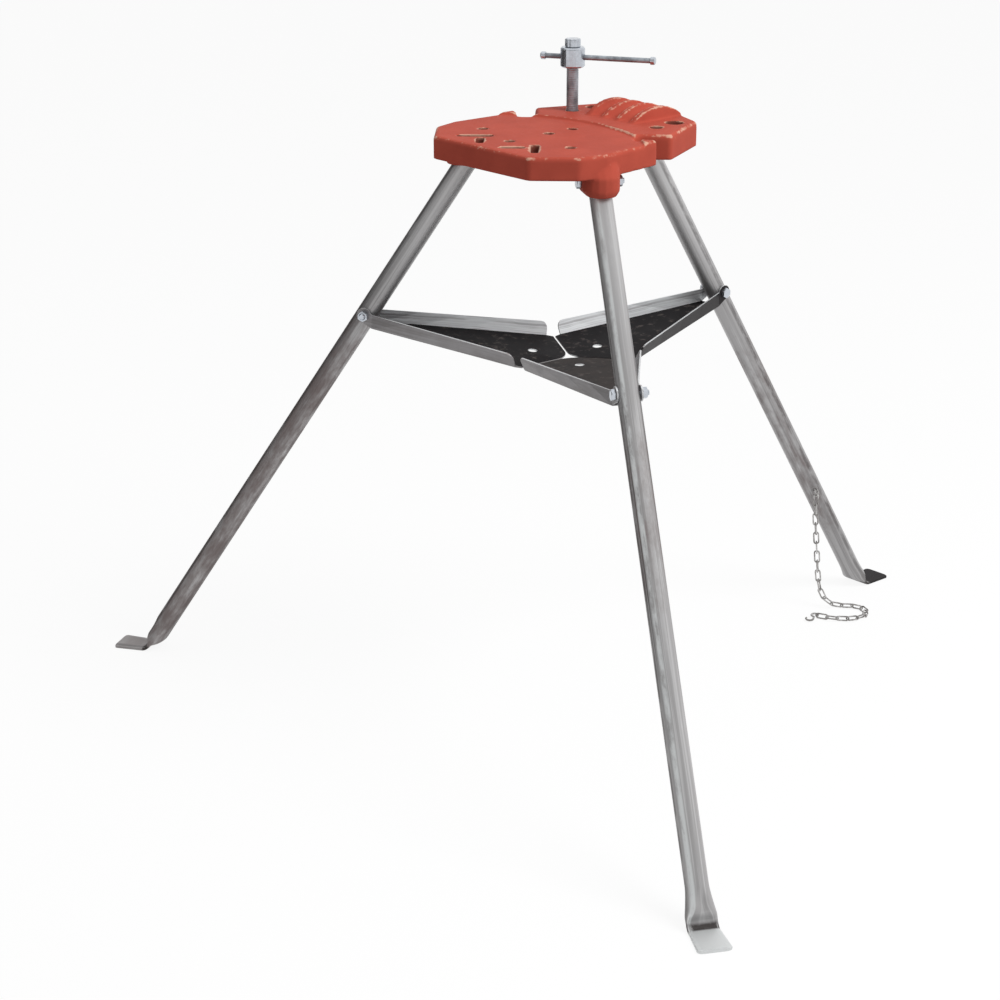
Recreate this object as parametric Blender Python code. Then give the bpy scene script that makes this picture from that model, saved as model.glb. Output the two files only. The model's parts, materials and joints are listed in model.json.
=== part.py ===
"""Folding tripod pipe stand: a cast top on three hinged tube legs, with a folding tray, a ceiling-brace
screw and a chain. Lengths are in metres, angles in degrees, +Z is up and the rear leg points along +Y."""

import math

import bmesh
import bpy
import numpy as np

# General
CLEARANCE = 0.0003
ROUND_SIDES = 24
SMALL_SIDES = 12
STAND_HEIGHT = 0.8146
LEG_AZIMUTHS = {"left": 210.0, "right": 330.0, "rear": 90.0}

# Cast top
PLATE_EDGE = 0.0295
PLATE_SKIN = 0.009
PLATE_WALL = 0.009
PLATE_EDGE_ROUND = 0.004
CORNER_STEPS = 4
# Right half of the plan from the front to the rear centre line: x, y and corner radius.
PLATE_HALF_PLAN = [
    (0.088, -0.161, 0.010),
    (0.1335, -0.1165, 0.012),
    (0.1426, -0.0783, 0.014),
    (0.1334, 0.0255, 0.005),
    (0.108, 0.0055, 0.009),
    (0.091, 0.024, 0.009),
    (0.126, 0.054, 0.006),
    (0.087, 0.1445, 0.012),
    (0.036, 0.164, 0.015),
]
PLATE_REAR = 0.168
REAR_RISE = 0.003
REAR_RISE_APEX = 0.040
REAR_RISE_RADIUS = 0.232
VISE_HOLE_DIAMETER = 0.0125
VISE_HOLES = [(0.0, -0.110), (0.0, -0.041), (0.0, 0.0014), (0.081, -0.0813), (-0.081, -0.0813)]
VISE_SLOT_WIDTH = 0.010
LONG_SLOT_LENGTH = 0.047
LONG_SLOT_PLACE = (0.0554, -0.1187)
LONG_SLOT_ANGLE = 135.0
SHORT_SLOT_LENGTH = 0.032
SHORT_SLOT_PLACE = (0.030, -0.1335)
SHORT_SLOT_ANGLE = 45.0
TOOL_HOLE_DIAMETER = 0.023
TOOL_HOLE_PLACE = (0.073, 0.115)
BRACE_PLACE = (0.0775, 0.0765)
BRACE_BOSS_DIAMETER = 0.034
BRACE_BOSS_DROP = 0.003

# Pipe-bender hump on the cast top
HUMP_RADIUS = 0.075
HUMP_RISE = 0.020
HUMP_CENTRE = 0.115
HUMP_ARC_STEPS = 15
GROOVE_COUNT = 3
GROOVE_PITCH = 0.026
GROOVE_WIDTH = 0.019
GROOVE_DEPTH = 0.008
GROOVE_STEPS = 6
HUMP_END_RIB = 0.0085
HUMP_END_SLOPE = 0.006

# Legs
LEG_ANGLE = 33.28
TUBE_DIAMETER = 0.0286
TUBE_WALL = 0.002
PIVOT_RADIUS = 0.1356
PIVOT_HEADROOM = 0.0084
TUBE_TOP = 0.017
PAD_WIDTH = 0.043
PAD_THICKNESS = 0.0045
PAD_LENGTH = 0.049
PAD_CORNER = 0.004
PAD_FLAT = 0.04
HEEL_BEND = 0.013
HEEL_STEPS = 5
FLATTEN_LENGTH = 0.045
FLATTEN_STEPS = 7

# Leg sockets under the cast top
SOCKET_WIDTH = 0.047
SOCKET_LIP_WIDTH = 0.037
SOCKET_OUTER_RADIUS = 0.172
SOCKET_INNER_RADIUS = 0.118
SOCKET_DROP = 0.0145
SOCKET_TAPER = 0.007
SOCKET_SIDE_GAP = 0.0006
SOCKET_ARC_STEPS = 8
LEG_FOLD = 30.0

# Hinge bolts
BOLT_DIAMETER = 0.008
HEX_ACROSS = 0.013
HEAD_HEIGHT = 0.0053
NUT_HEIGHT = 0.0065
BOLT_END = 0.0025

# Tray leaves
TRAY_BOLT_HEIGHT = 0.545
SHEET = 0.002
TRAY_SLOPE = 4.5
FLOOR_SPARE = 0.0007
FLANGE_HEIGHT = 0.018
FLANGE_FLARE = 0.009
FLANGE_CORNER = 0.009
FLANGE_STRIPS = 4
EAR_RADIUS = 0.0105
EAR_STEPS = 10
EAR_SIDE_GAP = 0.0006
FLOOR_SETBACK = 0.012
SHOULDER_REACH = 0.054
SHOULDER_HALF_WIDTH = 0.074
LEAF_GAP = 0.003
TIP_RADIUS = 0.036
TIP_STEPS = 6
DRAIN_DIAMETER = 0.013
DRAIN_REACH = 0.050

# Ceiling-brace screw
SCREW_DIAMETER = 0.016
SCREW_BELOW_TOP = 0.045
HUB_DIAMETER = 0.033
HUB_HEIGHT = 0.027
HUB_LIFT = 0.0605
HUB_CHAMFER = 0.002
SCREW_SEAT = 0.007
CAP_DIAMETER = 0.021
CAP_HEIGHT = 0.0105
CAP_CHAMFER = 0.0015
SPIGOT_DIAMETER = 0.009
SPIGOT_HEIGHT = 0.006
BAR_DIAMETER = 0.007
BAR_HOLE_GAP = 0.0003
BAR_AZIMUTH = 30.0
BAR_LONG_END = 0.113
BAR_SHORT_END = 0.044
KNOB_DIAMETER = 0.0105
KNOB_LENGTH = 0.007
KNOB_ROUND = 0.0015

# Chain on the rear leg
CHAIN_EYE_HEIGHT = 0.197
EYE_TURN = 62.0
EYE_WIRE = 0.003
EYE_SHANK = 0.003
EYE_RADIUS = 0.0052
LINK_COUNT = 22
LINK_WIRE = 0.0023
LINK_WIDTH = 0.0095
LINK_LENGTH = 0.0214
LINK_SLACK = 0.0011
LINK_BEND_STEPS = 5
LINK_SIDES = 6
HANGING_LINKS = 9
LAST_LINKS = 7
LAST_TURN = 54.9
HOOK_WIRE = 0.003
HOOK_EYE_RADIUS = 0.005
HOOK_SHANK = 0.008
HOOK_BEND_RADIUS = 0.0055
HOOK_TURN = 97.0
HOOK_DROP = 6.5
# Route of the chain after its first links, as x and y from the stand's axis and height above the floor.
CHAIN_ROUTE = [
    (0.0213, 0.5119, 0.0964),
    (0.0235, 0.5143, 0.0584),
    (0.0255, 0.5163, 0.0380),
    (0.0290, 0.5201, 0.0225),
    (0.0350, 0.5267, 0.0110),
    (0.0435, 0.5361, 0.0052),
    (0.0505, 0.5434, 0.0043),
    (0.0575, 0.5503, 0.0043),
    (0.0668, 0.5563, 0.0045),
    (0.0773, 0.5577, 0.0047),
    (0.0875, 0.5546, 0.0047),
    (0.0953, 0.5476, 0.0046),
    (0.0993, 0.5378, 0.0046),
    (0.0991, 0.5280, 0.0049),
    (0.0962, 0.5180, 0.0051),
    (0.0905, 0.5080, 0.0052),
    (0.0815, 0.4992, 0.0053),
    (0.0690, 0.4915, 0.0053),
    (0.0545, 0.4850, 0.0053),
    (0.0400, 0.4790, 0.0053),
]

# Worked out from the sizes above
TUBE_RADIUS = TUBE_DIAMETER / 2
BOLT_RADIUS = BOLT_DIAMETER / 2
BOLT_HOLE_RADIUS = BOLT_RADIUS + CLEARANCE
LEG_SIN = math.sin(math.radians(LEG_ANGLE))
LEG_COS = math.cos(math.radians(LEG_ANGLE))
TUBE_TOP_SWEEP = math.hypot(TUBE_TOP, TUBE_RADIUS)
PIVOT_HEIGHT = STAND_HEIGHT - PLATE_SKIN - PIVOT_HEADROOM - TUBE_TOP_SWEEP
HEEL_DISTANCE = (PIVOT_HEIGHT - PAD_THICKNESS / 2) / LEG_COS
TOE_RADIUS = PIVOT_RADIUS + HEEL_DISTANCE * LEG_SIN + PAD_LENGTH
TRAY_BOLT_DISTANCE = (PIVOT_HEIGHT - TRAY_BOLT_HEIGHT) / LEG_COS
TRAY_BOLT_RADIUS = PIVOT_RADIUS + TRAY_BOLT_DISTANCE * LEG_SIN
PLATE_BOTTOM = STAND_HEIGHT - PLATE_EDGE
PLATE_CEILING = STAND_HEIGHT - PLATE_SKIN
REAR_TOP = STAND_HEIGHT + REAR_RISE
SOCKET_BOTTOM = PIVOT_HEIGHT - SOCKET_DROP
# The legs stand at three even azimuths, so the box's middle lies in front of the stand's axis.
FRONT_REACH = (TOE_RADIUS - PAD_CORNER) * 0.5 + PAD_WIDTH / 2 * math.cos(math.radians(30))
AXIS_Y = (FRONT_REACH - TOE_RADIUS) / 2


def finish(name, colour, roughness, metallic):
    """A Principled material of one colour."""
    material = bpy.data.materials.new(name)
    material.use_nodes = True
    shader = material.node_tree.nodes["Principled BSDF"]
    shader.inputs["Base Color"].default_value = (*colour, 1.0)
    shader.inputs["Roughness"].default_value = roughness
    shader.inputs["Metallic"].default_value = metallic
    return material


def add_loft(bm, rings, closed=False):
    """Adds a skin over rings of equally many points, capped at both ends or joined end to start."""
    rows = [[bm.verts.new(point) for point in ring] for ring in rings]
    pairs = list(zip(rows, rows[1:]))
    if closed:
        pairs.append((rows[-1], rows[0]))
    else:
        bm.faces.new(rows[0])
        bm.faces.new(rows[-1])
    for low, high in pairs:
        for i in range(len(low)):
            j = (i + 1) % len(low)
            bm.faces.new((low[i], low[j], high[j], high[i]))


def mesh_object(name, bm, material, parent, smooth_angle=35.0):
    """Turns a bmesh into an object of this name under its parent."""
    bmesh.ops.recalc_face_normals(bm, faces=bm.faces)
    mesh = bpy.data.meshes.new(name)
    bm.to_mesh(mesh)
    bm.free()
    mesh.shade_smooth()
    mesh.set_sharp_from_angle(angle=math.radians(smooth_angle))
    if material:
        mesh.materials.append(material)
    obj = bpy.data.objects.new(name, mesh)
    obj.parent = parent
    bpy.context.scene.collection.objects.link(obj)
    return obj


def lofted(name, rings, material, parent, closed=False):
    bm = bmesh.new()
    add_loft(bm, rings, closed)
    return mesh_object(name, bm, material, parent)


def helper(name, shells, parent):
    """A hidden shape of separate lofted shells, for a Boolean."""
    bm = bmesh.new()
    for rings in shells:
        add_loft(bm, rings)
    obj = mesh_object(name, bm, None, parent)
    obj.hide_render = True
    obj.display_type = "WIRE"
    return obj


def boolean(obj, operation, other):
    modifier = obj.modifiers.new(other.name, "BOOLEAN")
    modifier.operation = operation
    modifier.object = other


def empty(name, parent, place, azimuth=0.0):
    """A joint's frame: its origin on the joint's axis, its X pointing to the azimuth."""
    frame = bpy.data.objects.new(name, None)
    frame.parent = parent
    frame.location = place
    frame.rotation_euler = (0, 0, math.radians(azimuth))
    frame.empty_display_size = 0.02
    bpy.context.scene.collection.objects.link(frame)
    return frame


def circle(radius, sides=ROUND_SIDES):
    """Points of a circle about the origin, as rows of two coordinates."""
    angles = np.arange(sides) * 2 * math.pi / sides
    return radius * np.stack([np.cos(angles), np.sin(angles)], axis=1)


def hexagon(across):
    """A hexagon of this width across its flats, with a point at each corner and each middle of a side."""
    angles = np.arange(SMALL_SIDES) * 2 * math.pi / SMALL_SIDES
    radii = np.where(np.arange(SMALL_SIDES) % 2 == 0, across / 2, across / math.sqrt(3))
    return radii[:, None] * np.stack([np.cos(angles), np.sin(angles)], axis=1)


def upright(plan, height):
    """A plan's points at a height, as rows of three coordinates."""
    plan = np.asarray(plan, float)
    return np.column_stack([plan, np.full(len(plan), height)])


def crosswise(section, y):
    """A section in the XZ plane, at this place along Y."""
    section = np.asarray(section, float)
    return np.column_stack([section[:, 0], np.full(len(section), y), section[:, 1]])


def post(radius, low, high, centre=(0.0, 0.0), sides=ROUND_SIDES):
    """The two rings of an upright cylinder."""
    plan = circle(radius, sides) + centre
    return [upright(plan, low), upright(plan, high)]


def cross_pin(radius, half_length, centre, sides=ROUND_SIDES):
    """The two rings of a cylinder along Y, with its middle at an x and z."""
    section = circle(radius, sides) + centre
    return [crosswise(section, -half_length), crosswise(section, half_length)]


def turned(profile, sides=ROUND_SIDES):
    """Rings of a turned solid from its profile of radii and heights."""
    return [upright(circle(radius, sides), height) for radius, height in profile]


for old in list(bpy.data.objects):
    bpy.data.objects.remove(old)

RED_PAINT = finish("red_paint", (0.50, 0.055, 0.030), 0.5, 0.0)
LEG_STEEL = finish("leg_steel", (0.42, 0.40, 0.39), 0.45, 1.0)
ZINC = finish("zinc_plate", (0.62, 0.63, 0.65), 0.35, 1.0)
TRAY_STEEL = finish("tray_steel", (0.10, 0.09, 0.09), 0.5, 0.6)
CHAIN_STEEL = finish("chain_steel", (0.45, 0.44, 0.42), 0.45, 1.0)

stand = empty("stand_axis", None, (0, AXIS_Y, 0))


# Cast top: a hollow plate with a raised rear part, a grooved hump, brace bosses and leg sockets.
def plate_plan(inset):
    """The plate's rounded plan, moved in by a distance, anticlockwise from above."""
    right = [np.array(corner) for corner in PLATE_HALF_PLAN]
    left = [corner * (-1, 1, 1) for corner in right[::-1]]
    corners = right + [np.array((0.0, PLATE_REAR, 0.02))] + left
    plan = []
    for before, corner, after in zip(corners[-1:] + corners, corners, corners[1:] + corners[:1]):
        ahead = [corner[:2] - before[:2], after[:2] - corner[:2]]
        inward = [np.array((-side[1], side[0])) / np.hypot(*side) for side in ahead]
        to_inside = (inward[0] + inward[1]) / (1 + inward[0] @ inward[1])
        turn = math.atan2(ahead[0][0] * ahead[1][1] - ahead[0][1] * ahead[1][0], ahead[0] @ ahead[1])
        bulge = math.copysign(1.0, turn)
        radius = max(corner[2] - bulge * inset, CLEARANCE)
        centre = corner[:2] + to_inside * (inset + bulge * radius)
        start = math.atan2(*(-bulge * inward[0])[::-1])
        angles = start + np.linspace(0, turn, CORNER_STEPS + 1)
        plan.append(centre + radius * np.stack([np.cos(angles), np.sin(angles)], axis=1))
    return np.concatenate(plan)


def slot_plan(length, place, angle):
    """A slot with round ends, centred on a place."""
    half = (length - VISE_SLOT_WIDTH) / 2
    ends = circle(VISE_SLOT_WIDTH / 2, SMALL_SIDES) @ [[0, 1], [-1, 0]]
    shift = np.where(ends[:, :1] < -1e-9, [[-half, 0]], [[half, 0]])
    cosine, sine = math.cos(math.radians(angle)), math.sin(math.radians(angle))
    return (ends + shift) @ np.array([[cosine, sine], [-sine, cosine]]) + place


def hump_rings():
    """Arcs across the hump's width: full radius on each rib, less by a round groove between ribs."""
    groove_radius = (GROOVE_WIDTH**2 / 4 + GROOVE_DEPTH**2) / (2 * GROOVE_DEPTH)
    axis_height = STAND_HEIGHT + HUMP_RISE - HUMP_RADIUS
    base = PLATE_CEILING + CLEARANCE
    stations = []
    for groove in range(GROOVE_COUNT):
        middle = (groove - (GROOVE_COUNT - 1) / 2) * GROOVE_PITCH
        for offset in GROOVE_WIDTH / 2 * np.sin(np.linspace(-math.pi / 2, math.pi / 2, GROOVE_STEPS + 1)):
            depth = math.sqrt(groove_radius**2 - offset**2) - (groove_radius - GROOVE_DEPTH)
            stations.append((middle + offset, HUMP_RADIUS - depth))
    crest = stations[-1][0] + HUMP_END_RIB
    foot = crest + HUMP_END_SLOPE
    foot_radius = base - axis_height + CLEARANCE
    left_end = [(-foot, foot_radius), (-crest, HUMP_RADIUS)]
    right_end = [(crest, HUMP_RADIUS), (foot, foot_radius)]
    stations = left_end + stations + right_end
    rings = []
    for across, radius in stations:
        reach = math.acos((base - axis_height) / radius)
        angles = np.linspace(-reach, reach, HUMP_ARC_STEPS + 1)
        y = HUMP_CENTRE + radius * np.sin(angles)
        z = axis_height + radius * np.cos(angles)
        rings.append(np.column_stack([np.full(len(y), across), y, z]))
    return rings


def socket_plan(half_width, outer_radius):
    """A U with its round end outwards, along X from the stand's axis."""
    middle = outer_radius - half_width
    angles = np.linspace(-math.pi / 2, math.pi / 2, SOCKET_ARC_STEPS + 1)
    arc = np.stack([middle + half_width * np.cos(angles), half_width * np.sin(angles)], axis=1)
    return np.concatenate([[(SOCKET_INNER_RADIUS, -half_width)], arc, [(SOCKET_INNER_RADIUS, half_width)]])


def about_axis(rings, azimuth):
    """Rings laid out along X, turned about the stand's axis."""
    cosine, sine = math.cos(math.radians(azimuth)), math.sin(math.radians(azimuth))
    turn = np.array([[cosine, sine, 0], [-sine, cosine, 0], [0, 0, 1]])
    return [np.asarray(ring) @ turn for ring in rings]


def leg_point(distance, outward=0.0):
    """x and z at a distance down a leg's axis from its pivot, moved off the axis to the outer side."""
    x = PIVOT_RADIUS + distance * LEG_SIN + outward * LEG_COS
    z = PIVOT_HEIGHT - distance * LEG_COS + outward * LEG_SIN
    return x, z


def socket_rings():
    lip = SOCKET_OUTER_RADIUS - (SOCKET_WIDTH - SOCKET_LIP_WIDTH) / 4
    shoulder = PLATE_CEILING + (STAND_HEIGHT - PLATE_CEILING) / 4
    wide = socket_plan(SOCKET_WIDTH / 2, SOCKET_OUTER_RADIUS)
    return [
        upright(socket_plan(SOCKET_LIP_WIDTH / 2, lip), SOCKET_BOTTOM),
        upright(wide, SOCKET_BOTTOM + SOCKET_TAPER),
        upright(wide, PLATE_BOTTOM),
        upright(socket_plan(SOCKET_WIDTH / 2, SOCKET_OUTER_RADIUS - PLATE_EDGE / 2), shoulder),
    ]


def leg_way_rings():
    """The room of a leg standing open: half a tube on its outer side, open to the inside."""
    half = TUBE_RADIUS + SOCKET_SIDE_GAP
    angles = np.linspace(-math.pi / 2, math.pi / 2, SOCKET_ARC_STEPS + 1)
    section = [(-2 * half, -half)]
    section += [((TUBE_RADIUS + CLEARANCE) * math.cos(angle), half * math.sin(angle)) for angle in angles]
    section += [(-2 * half, half)]
    rings = []
    for distance in (-TUBE_TOP - CLEARANCE, 2 * (TUBE_RADIUS + SOCKET_DROP)):
        points = [(*leg_point(distance, outward), side) for outward, side in section]
        rings.append([(x, side, z) for x, z, side in points])
    return rings


def leg_swing_rings():
    """The room above the pivot for a leg's top as the leg folds in, a little wider than the leg's way."""
    half = TUBE_RADIUS + SOCKET_SIDE_GAP + CLEARANCE
    near, far = SOCKET_INNER_RADIUS - TUBE_DIAMETER, PIVOT_RADIUS + TUBE_RADIUS + 3 * CLEARANCE
    plan = [(near, -half), (far, -half), (far, half), (near, half)]
    return [upright(plan, PIVOT_HEIGHT - CLEARANCE), upright(plan, PIVOT_HEIGHT + TUBE_TOP_SWEEP + CLEARANCE)]


def plate_rings(inset, low, high):
    """The plate's outline between two heights, with its upper edge rounded off."""
    return [
        upright(plate_plan(inset), low),
        upright(plate_plan(inset), high - PLATE_EDGE_ROUND),
        upright(plate_plan(inset + PLATE_EDGE_ROUND * 0.3), high - PLATE_EDGE_ROUND * 0.3),
        upright(plate_plan(inset + PLATE_EDGE_ROUND), high),
    ]


top_casting = lofted("top_casting", plate_rings(0.0, PLATE_BOTTOM, STAND_HEIGHT), RED_PAINT, stand)

rear_part = helper("rear_part", [plate_rings(CLEARANCE, PLATE_CEILING + CLEARANCE, REAR_TOP)], stand)
rise_half = PLATE_HALF_PLAN[2][0] + PLATE_WALL
rise_arc = np.linspace(-rise_half, rise_half, 2 * ROUND_SIDES)
rise_front = REAR_RISE_APEX - REAR_RISE_RADIUS + np.sqrt(REAR_RISE_RADIUS**2 - rise_arc**2)
rise_plan = [*zip(rise_arc, rise_front), (rise_half, 2 * PLATE_REAR), (-rise_half, 2 * PLATE_REAR)]
rise_prism = [upright(rise_plan, PLATE_BOTTOM), upright(rise_plan, STAND_HEIGHT + HUMP_RISE)]
boolean(rear_part, "INTERSECT", helper("rear_bounds", [rise_prism], stand))
boolean(top_casting, "UNION", rear_part)

hollow_plan = plate_plan(PLATE_WALL)
hollow = [upright(hollow_plan, PLATE_BOTTOM - PLATE_SKIN), upright(hollow_plan, PLATE_CEILING)]
boolean(top_casting, "DIFFERENCE", helper("plate_hollow", [hollow], stand))

hump = helper("bender_hump", [hump_rings()], stand)
hump_bounds = plate_plan(PLATE_EDGE_ROUND / 2)
hump_prism = [upright(hump_bounds, PLATE_BOTTOM), upright(hump_bounds, STAND_HEIGHT + 2 * HUMP_RISE)]
boolean(hump, "INTERSECT", helper("hump_bounds", [hump_prism], stand))
boolean(top_casting, "UNION", hump)

brace_spots = [(side * BRACE_PLACE[0], BRACE_PLACE[1]) for side in (-1, 1)]
boss_heights = (PLATE_BOTTOM - BRACE_BOSS_DROP, PLATE_CEILING + CLEARANCE)
bosses = [post(BRACE_BOSS_DIAMETER / 2, *boss_heights, spot) for spot in brace_spots]
sockets = [about_axis(socket_rings(), azimuth) for azimuth in LEG_AZIMUTHS.values()]
boolean(top_casting, "UNION", helper("bosses_and_sockets", bosses + sockets, stand))

leg_ways = [about_axis(leg_way_rings(), azimuth) for azimuth in LEG_AZIMUTHS.values()]
boolean(top_casting, "DIFFERENCE", helper("leg_ways", leg_ways, stand))
leg_swings = [about_axis(leg_swing_rings(), azimuth) for azimuth in LEG_AZIMUTHS.values()]
boolean(top_casting, "DIFFERENCE", helper("leg_swings", leg_swings, stand))

drill_low, drill_high = PLATE_BOTTOM - PLATE_SKIN, STAND_HEIGHT + HUMP_RISE
drilled = [post(VISE_HOLE_DIAMETER / 2, drill_low, drill_high, spot, SMALL_SIDES) for spot in VISE_HOLES]
for side in (-1, 1):
    tool_spot = (side * TOOL_HOLE_PLACE[0], TOOL_HOLE_PLACE[1])
    drilled.append(post(TOOL_HOLE_DIAMETER / 2, drill_low, drill_high, tool_spot))
    for length, place, angle in (
        (LONG_SLOT_LENGTH, LONG_SLOT_PLACE, LONG_SLOT_ANGLE),
        (SHORT_SLOT_LENGTH, SHORT_SLOT_PLACE, SHORT_SLOT_ANGLE),
    ):
        plan = slot_plan(length, (side * place[0], place[1]), angle if side > 0 else 180 - angle)
        drilled.append([upright(plan, drill_low), upright(plan, drill_high)])
for spot in brace_spots:
    drilled.append(post(SCREW_DIAMETER / 2 + CLEARANCE, drill_low, drill_high, spot))
for azimuth in LEG_AZIMUTHS.values():
    pivot_hole = cross_pin(BOLT_HOLE_RADIUS, SOCKET_WIDTH, (PIVOT_RADIUS, PIVOT_HEIGHT), SMALL_SIDES)
    drilled.append(about_axis(pivot_hole, azimuth))
boolean(top_casting, "DIFFERENCE", helper("drilled_holes", drilled, stand))


# Hinge bolts: a hex bolt along Y through a joint, and its nut.
def bolt_rings(half_grip):
    """From the head's face to the bolt's end, which stands out of the nut."""
    head = half_grip + CLEARANCE
    shank = circle(BOLT_RADIUS, SMALL_SIDES)
    return [
        crosswise(hexagon(HEX_ACROSS), -head - HEAD_HEIGHT),
        crosswise(hexagon(HEX_ACROSS), -head),
        crosswise(shank, -head),
        crosswise(shank, head + NUT_HEIGHT + BOLT_END),
    ]


def nut_rings(half_grip):
    seat = half_grip + CLEARANCE
    bore = circle(BOLT_HOLE_RADIUS, SMALL_SIDES)
    return [
        crosswise(hexagon(HEX_ACROSS), seat),
        crosswise(hexagon(HEX_ACROSS), seat + NUT_HEIGHT),
        crosswise(bore, seat + NUT_HEIGHT),
        crosswise(bore, seat),
    ]


def add_hinge_bolt(name, side, half_grip, parent):
    lofted(f"{name}_bolt_{side}", bolt_rings(half_grip), ZINC, parent)
    lofted(f"{name}_nut_{side}", nut_rings(half_grip), ZINC, parent, closed=True)


# Legs: a tube, drilled for its two bolts, pressed flat at the heel and bent into a foot.
def leg_section(centre, lean, flatness, trim=0.0):
    """A ring round the leg: a circle at flatness 0, the flat foot's rounded bar at flatness 1."""
    half_width = (1 - flatness) * TUBE_RADIUS + flatness * PAD_WIDTH / 2 - trim
    half_height = (1 - flatness) * TUBE_RADIUS + flatness * PAD_THICKNESS / 2
    angles = np.arange(ROUND_SIDES) * 2 * math.pi / ROUND_SIDES
    power = 1 / (1 + 2 * flatness)
    across = half_width * np.sign(np.cos(angles)) * np.abs(np.cos(angles)) ** power
    swell = (1 + PAD_FLAT * flatness) * np.abs(np.sin(angles)) ** power
    thick = half_height * np.sign(np.sin(angles)) * np.minimum(1, swell)
    return np.column_stack([centre[0] + thick * math.sin(lean), across, centre[1] + thick * math.cos(lean)])


def leg_rings():
    """From the toe up the outside of the leg and down inside the tube, in the leg's hinge frame."""
    upright_lean = math.radians(90 - LEG_ANGLE)
    floor_line = -PIVOT_HEIGHT + PAD_THICKNESS / 2
    heel = HEEL_DISTANCE * LEG_SIN
    tangent = HEEL_BEND * math.tan(upright_lean / 2)
    toe = heel + PAD_LENGTH
    rings = [
        leg_section((toe, floor_line), 0.0, 1.0, PAD_CORNER),
        leg_section((toe - PAD_CORNER, floor_line), 0.0, 1.0),
    ]
    for lean in np.linspace(0, upright_lean, HEEL_STEPS + 1):
        x = heel + tangent - HEEL_BEND * math.sin(lean)
        z = floor_line + HEEL_BEND * (1 - math.cos(lean))
        rings.append(leg_section((x, z), lean, 1.0))
    for step in range(1, FLATTEN_STEPS + 1):
        share = step / FLATTEN_STEPS
        distance = HEEL_DISTANCE - tangent - share * FLATTEN_LENGTH
        centre = (distance * LEG_SIN, -distance * LEG_COS)
        rings.append(leg_section(centre, upright_lean, 1 - share * share * (3 - 2 * share)))
    bore_end = HEEL_DISTANCE - tangent - FLATTEN_LENGTH - TUBE_DIAMETER
    top = (-TUBE_TOP * LEG_SIN, TUBE_TOP * LEG_COS)
    rings.append(leg_section(top, upright_lean, 0.0))
    narrow = 1 - TUBE_WALL / TUBE_RADIUS
    for centre in (top, (bore_end * LEG_SIN, -bore_end * LEG_COS)):
        middle = np.array((centre[0], 0.0, centre[1]))
        rings.append(middle + narrow * (leg_section(centre, upright_lean, 0.0) - middle))
    return rings


# Tray leaves: sheet folded up along two sides, hung on the leg by an ear each side of the tube.
def leaf_sheet():
    """The leaf's middle surface in its hinge frame: a floor, two flared flanges and their ears."""
    slope = math.radians(TRAY_SLOPE)
    floor = -TUBE_RADIUS - FLOOR_SPARE - SHEET / 2
    ear_side = TUBE_RADIUS + EAR_SIDE_GAP + SHEET / 2
    wedge = math.pi / len(LEG_AZIMUTHS)
    apex = LEAF_GAP / 2 / math.sin(wedge)
    tip_middle = apex + TIP_RADIUS / math.sin(wedge)

    def on_floor(reach, across):
        """A point of the floor from its radius along the leaf and its distance to one side."""
        return (reach - TRAY_BOLT_RADIUS + floor * math.sin(slope)) / math.cos(slope), across, floor

    bm = bmesh.new()
    outline = {}
    for side in (1, -1):
        start = np.array((-FLOOR_SETBACK, side * ear_side))
        end = np.array(on_floor(SHOULDER_REACH, side * SHOULDER_HALF_WIDTH)[:2])
        length = np.hypot(*(end - start))
        fold = (end - start) / length
        out = side * np.array((fold[1], -fold[0])) * math.copysign(1.0, -fold[0])

        def on_flange(distance, height):
            lean = FLANGE_FLARE * distance / length * height / FLANGE_HEIGHT
            return bm.verts.new((*(start + fold * distance + out * lean), floor + height))

        marks = np.linspace(0, length, FLANGE_STRIPS + 1)
        low = [on_flange(mark, 0.0) for mark in marks]
        high = [on_flange(mark, FLANGE_HEIGHT) for mark in marks[:-1]]
        for i in range(FLANGE_STRIPS - 1):
            bm.faces.new((low[i], low[i + 1], high[i + 1], high[i]))
        turns = np.linspace(0, math.pi / 2, 5)
        back = FLANGE_CORNER * (1 - np.cos(turns))
        down = FLANGE_CORNER * (1 - np.sin(turns))
        corner = [on_flange(length - b, FLANGE_HEIGHT - d) for b, d in zip(back, down)]
        bm.faces.new((*low[-2:], *corner, high[-1]))
        angles = np.linspace(math.radians(165), -math.pi / 2, EAR_STEPS + 1)
        round_ear = EAR_RADIUS * np.stack([np.cos(angles), np.sin(angles)], axis=1)
        ear = [bm.verts.new((x, side * ear_side, z)) for x, z in round_ear]
        bm.faces.new((low[0], high[0], *ear))
        shoulder_reach = apex + SHOULDER_HALF_WIDTH / math.tan(wedge)
        outline[side] = [*low, bm.verts.new(on_floor(shoulder_reach, side * SHOULDER_HALF_WIDTH))]
    tip = [
        bm.verts.new(on_floor(tip_middle + TIP_RADIUS * math.cos(angle), TIP_RADIUS * math.sin(angle)))
        for angle in np.linspace(math.pi / 2 + wedge, 3 * math.pi / 2 - wedge, TIP_STEPS + 1)
    ]
    bm.faces.new((*outline[1], *tip, *outline[-1][::-1]))
    return bm


def add_leaf(side, parent):
    leaf = mesh_object(f"tray_leaf_{side}", leaf_sheet(), TRAY_STEEL, parent)
    solidify = leaf.modifiers.new("sheet", "SOLIDIFY")
    solidify.thickness = SHEET
    solidify.offset = 0.0
    solidify.use_even_offset = True
    drain_spot = (DRAIN_REACH - TRAY_BOLT_RADIUS, 0.0)
    drain = post(DRAIN_DIAMETER / 2, -2 * TUBE_DIAMETER, 0.0, drain_spot, SMALL_SIDES)
    bolt_way = cross_pin(BOLT_HOLE_RADIUS, TUBE_DIAMETER, (0.0, 0.0), SMALL_SIDES)
    boolean(leaf, "DIFFERENCE", helper(f"leaf_holes_{side}", [drain, bolt_way], parent))


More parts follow.
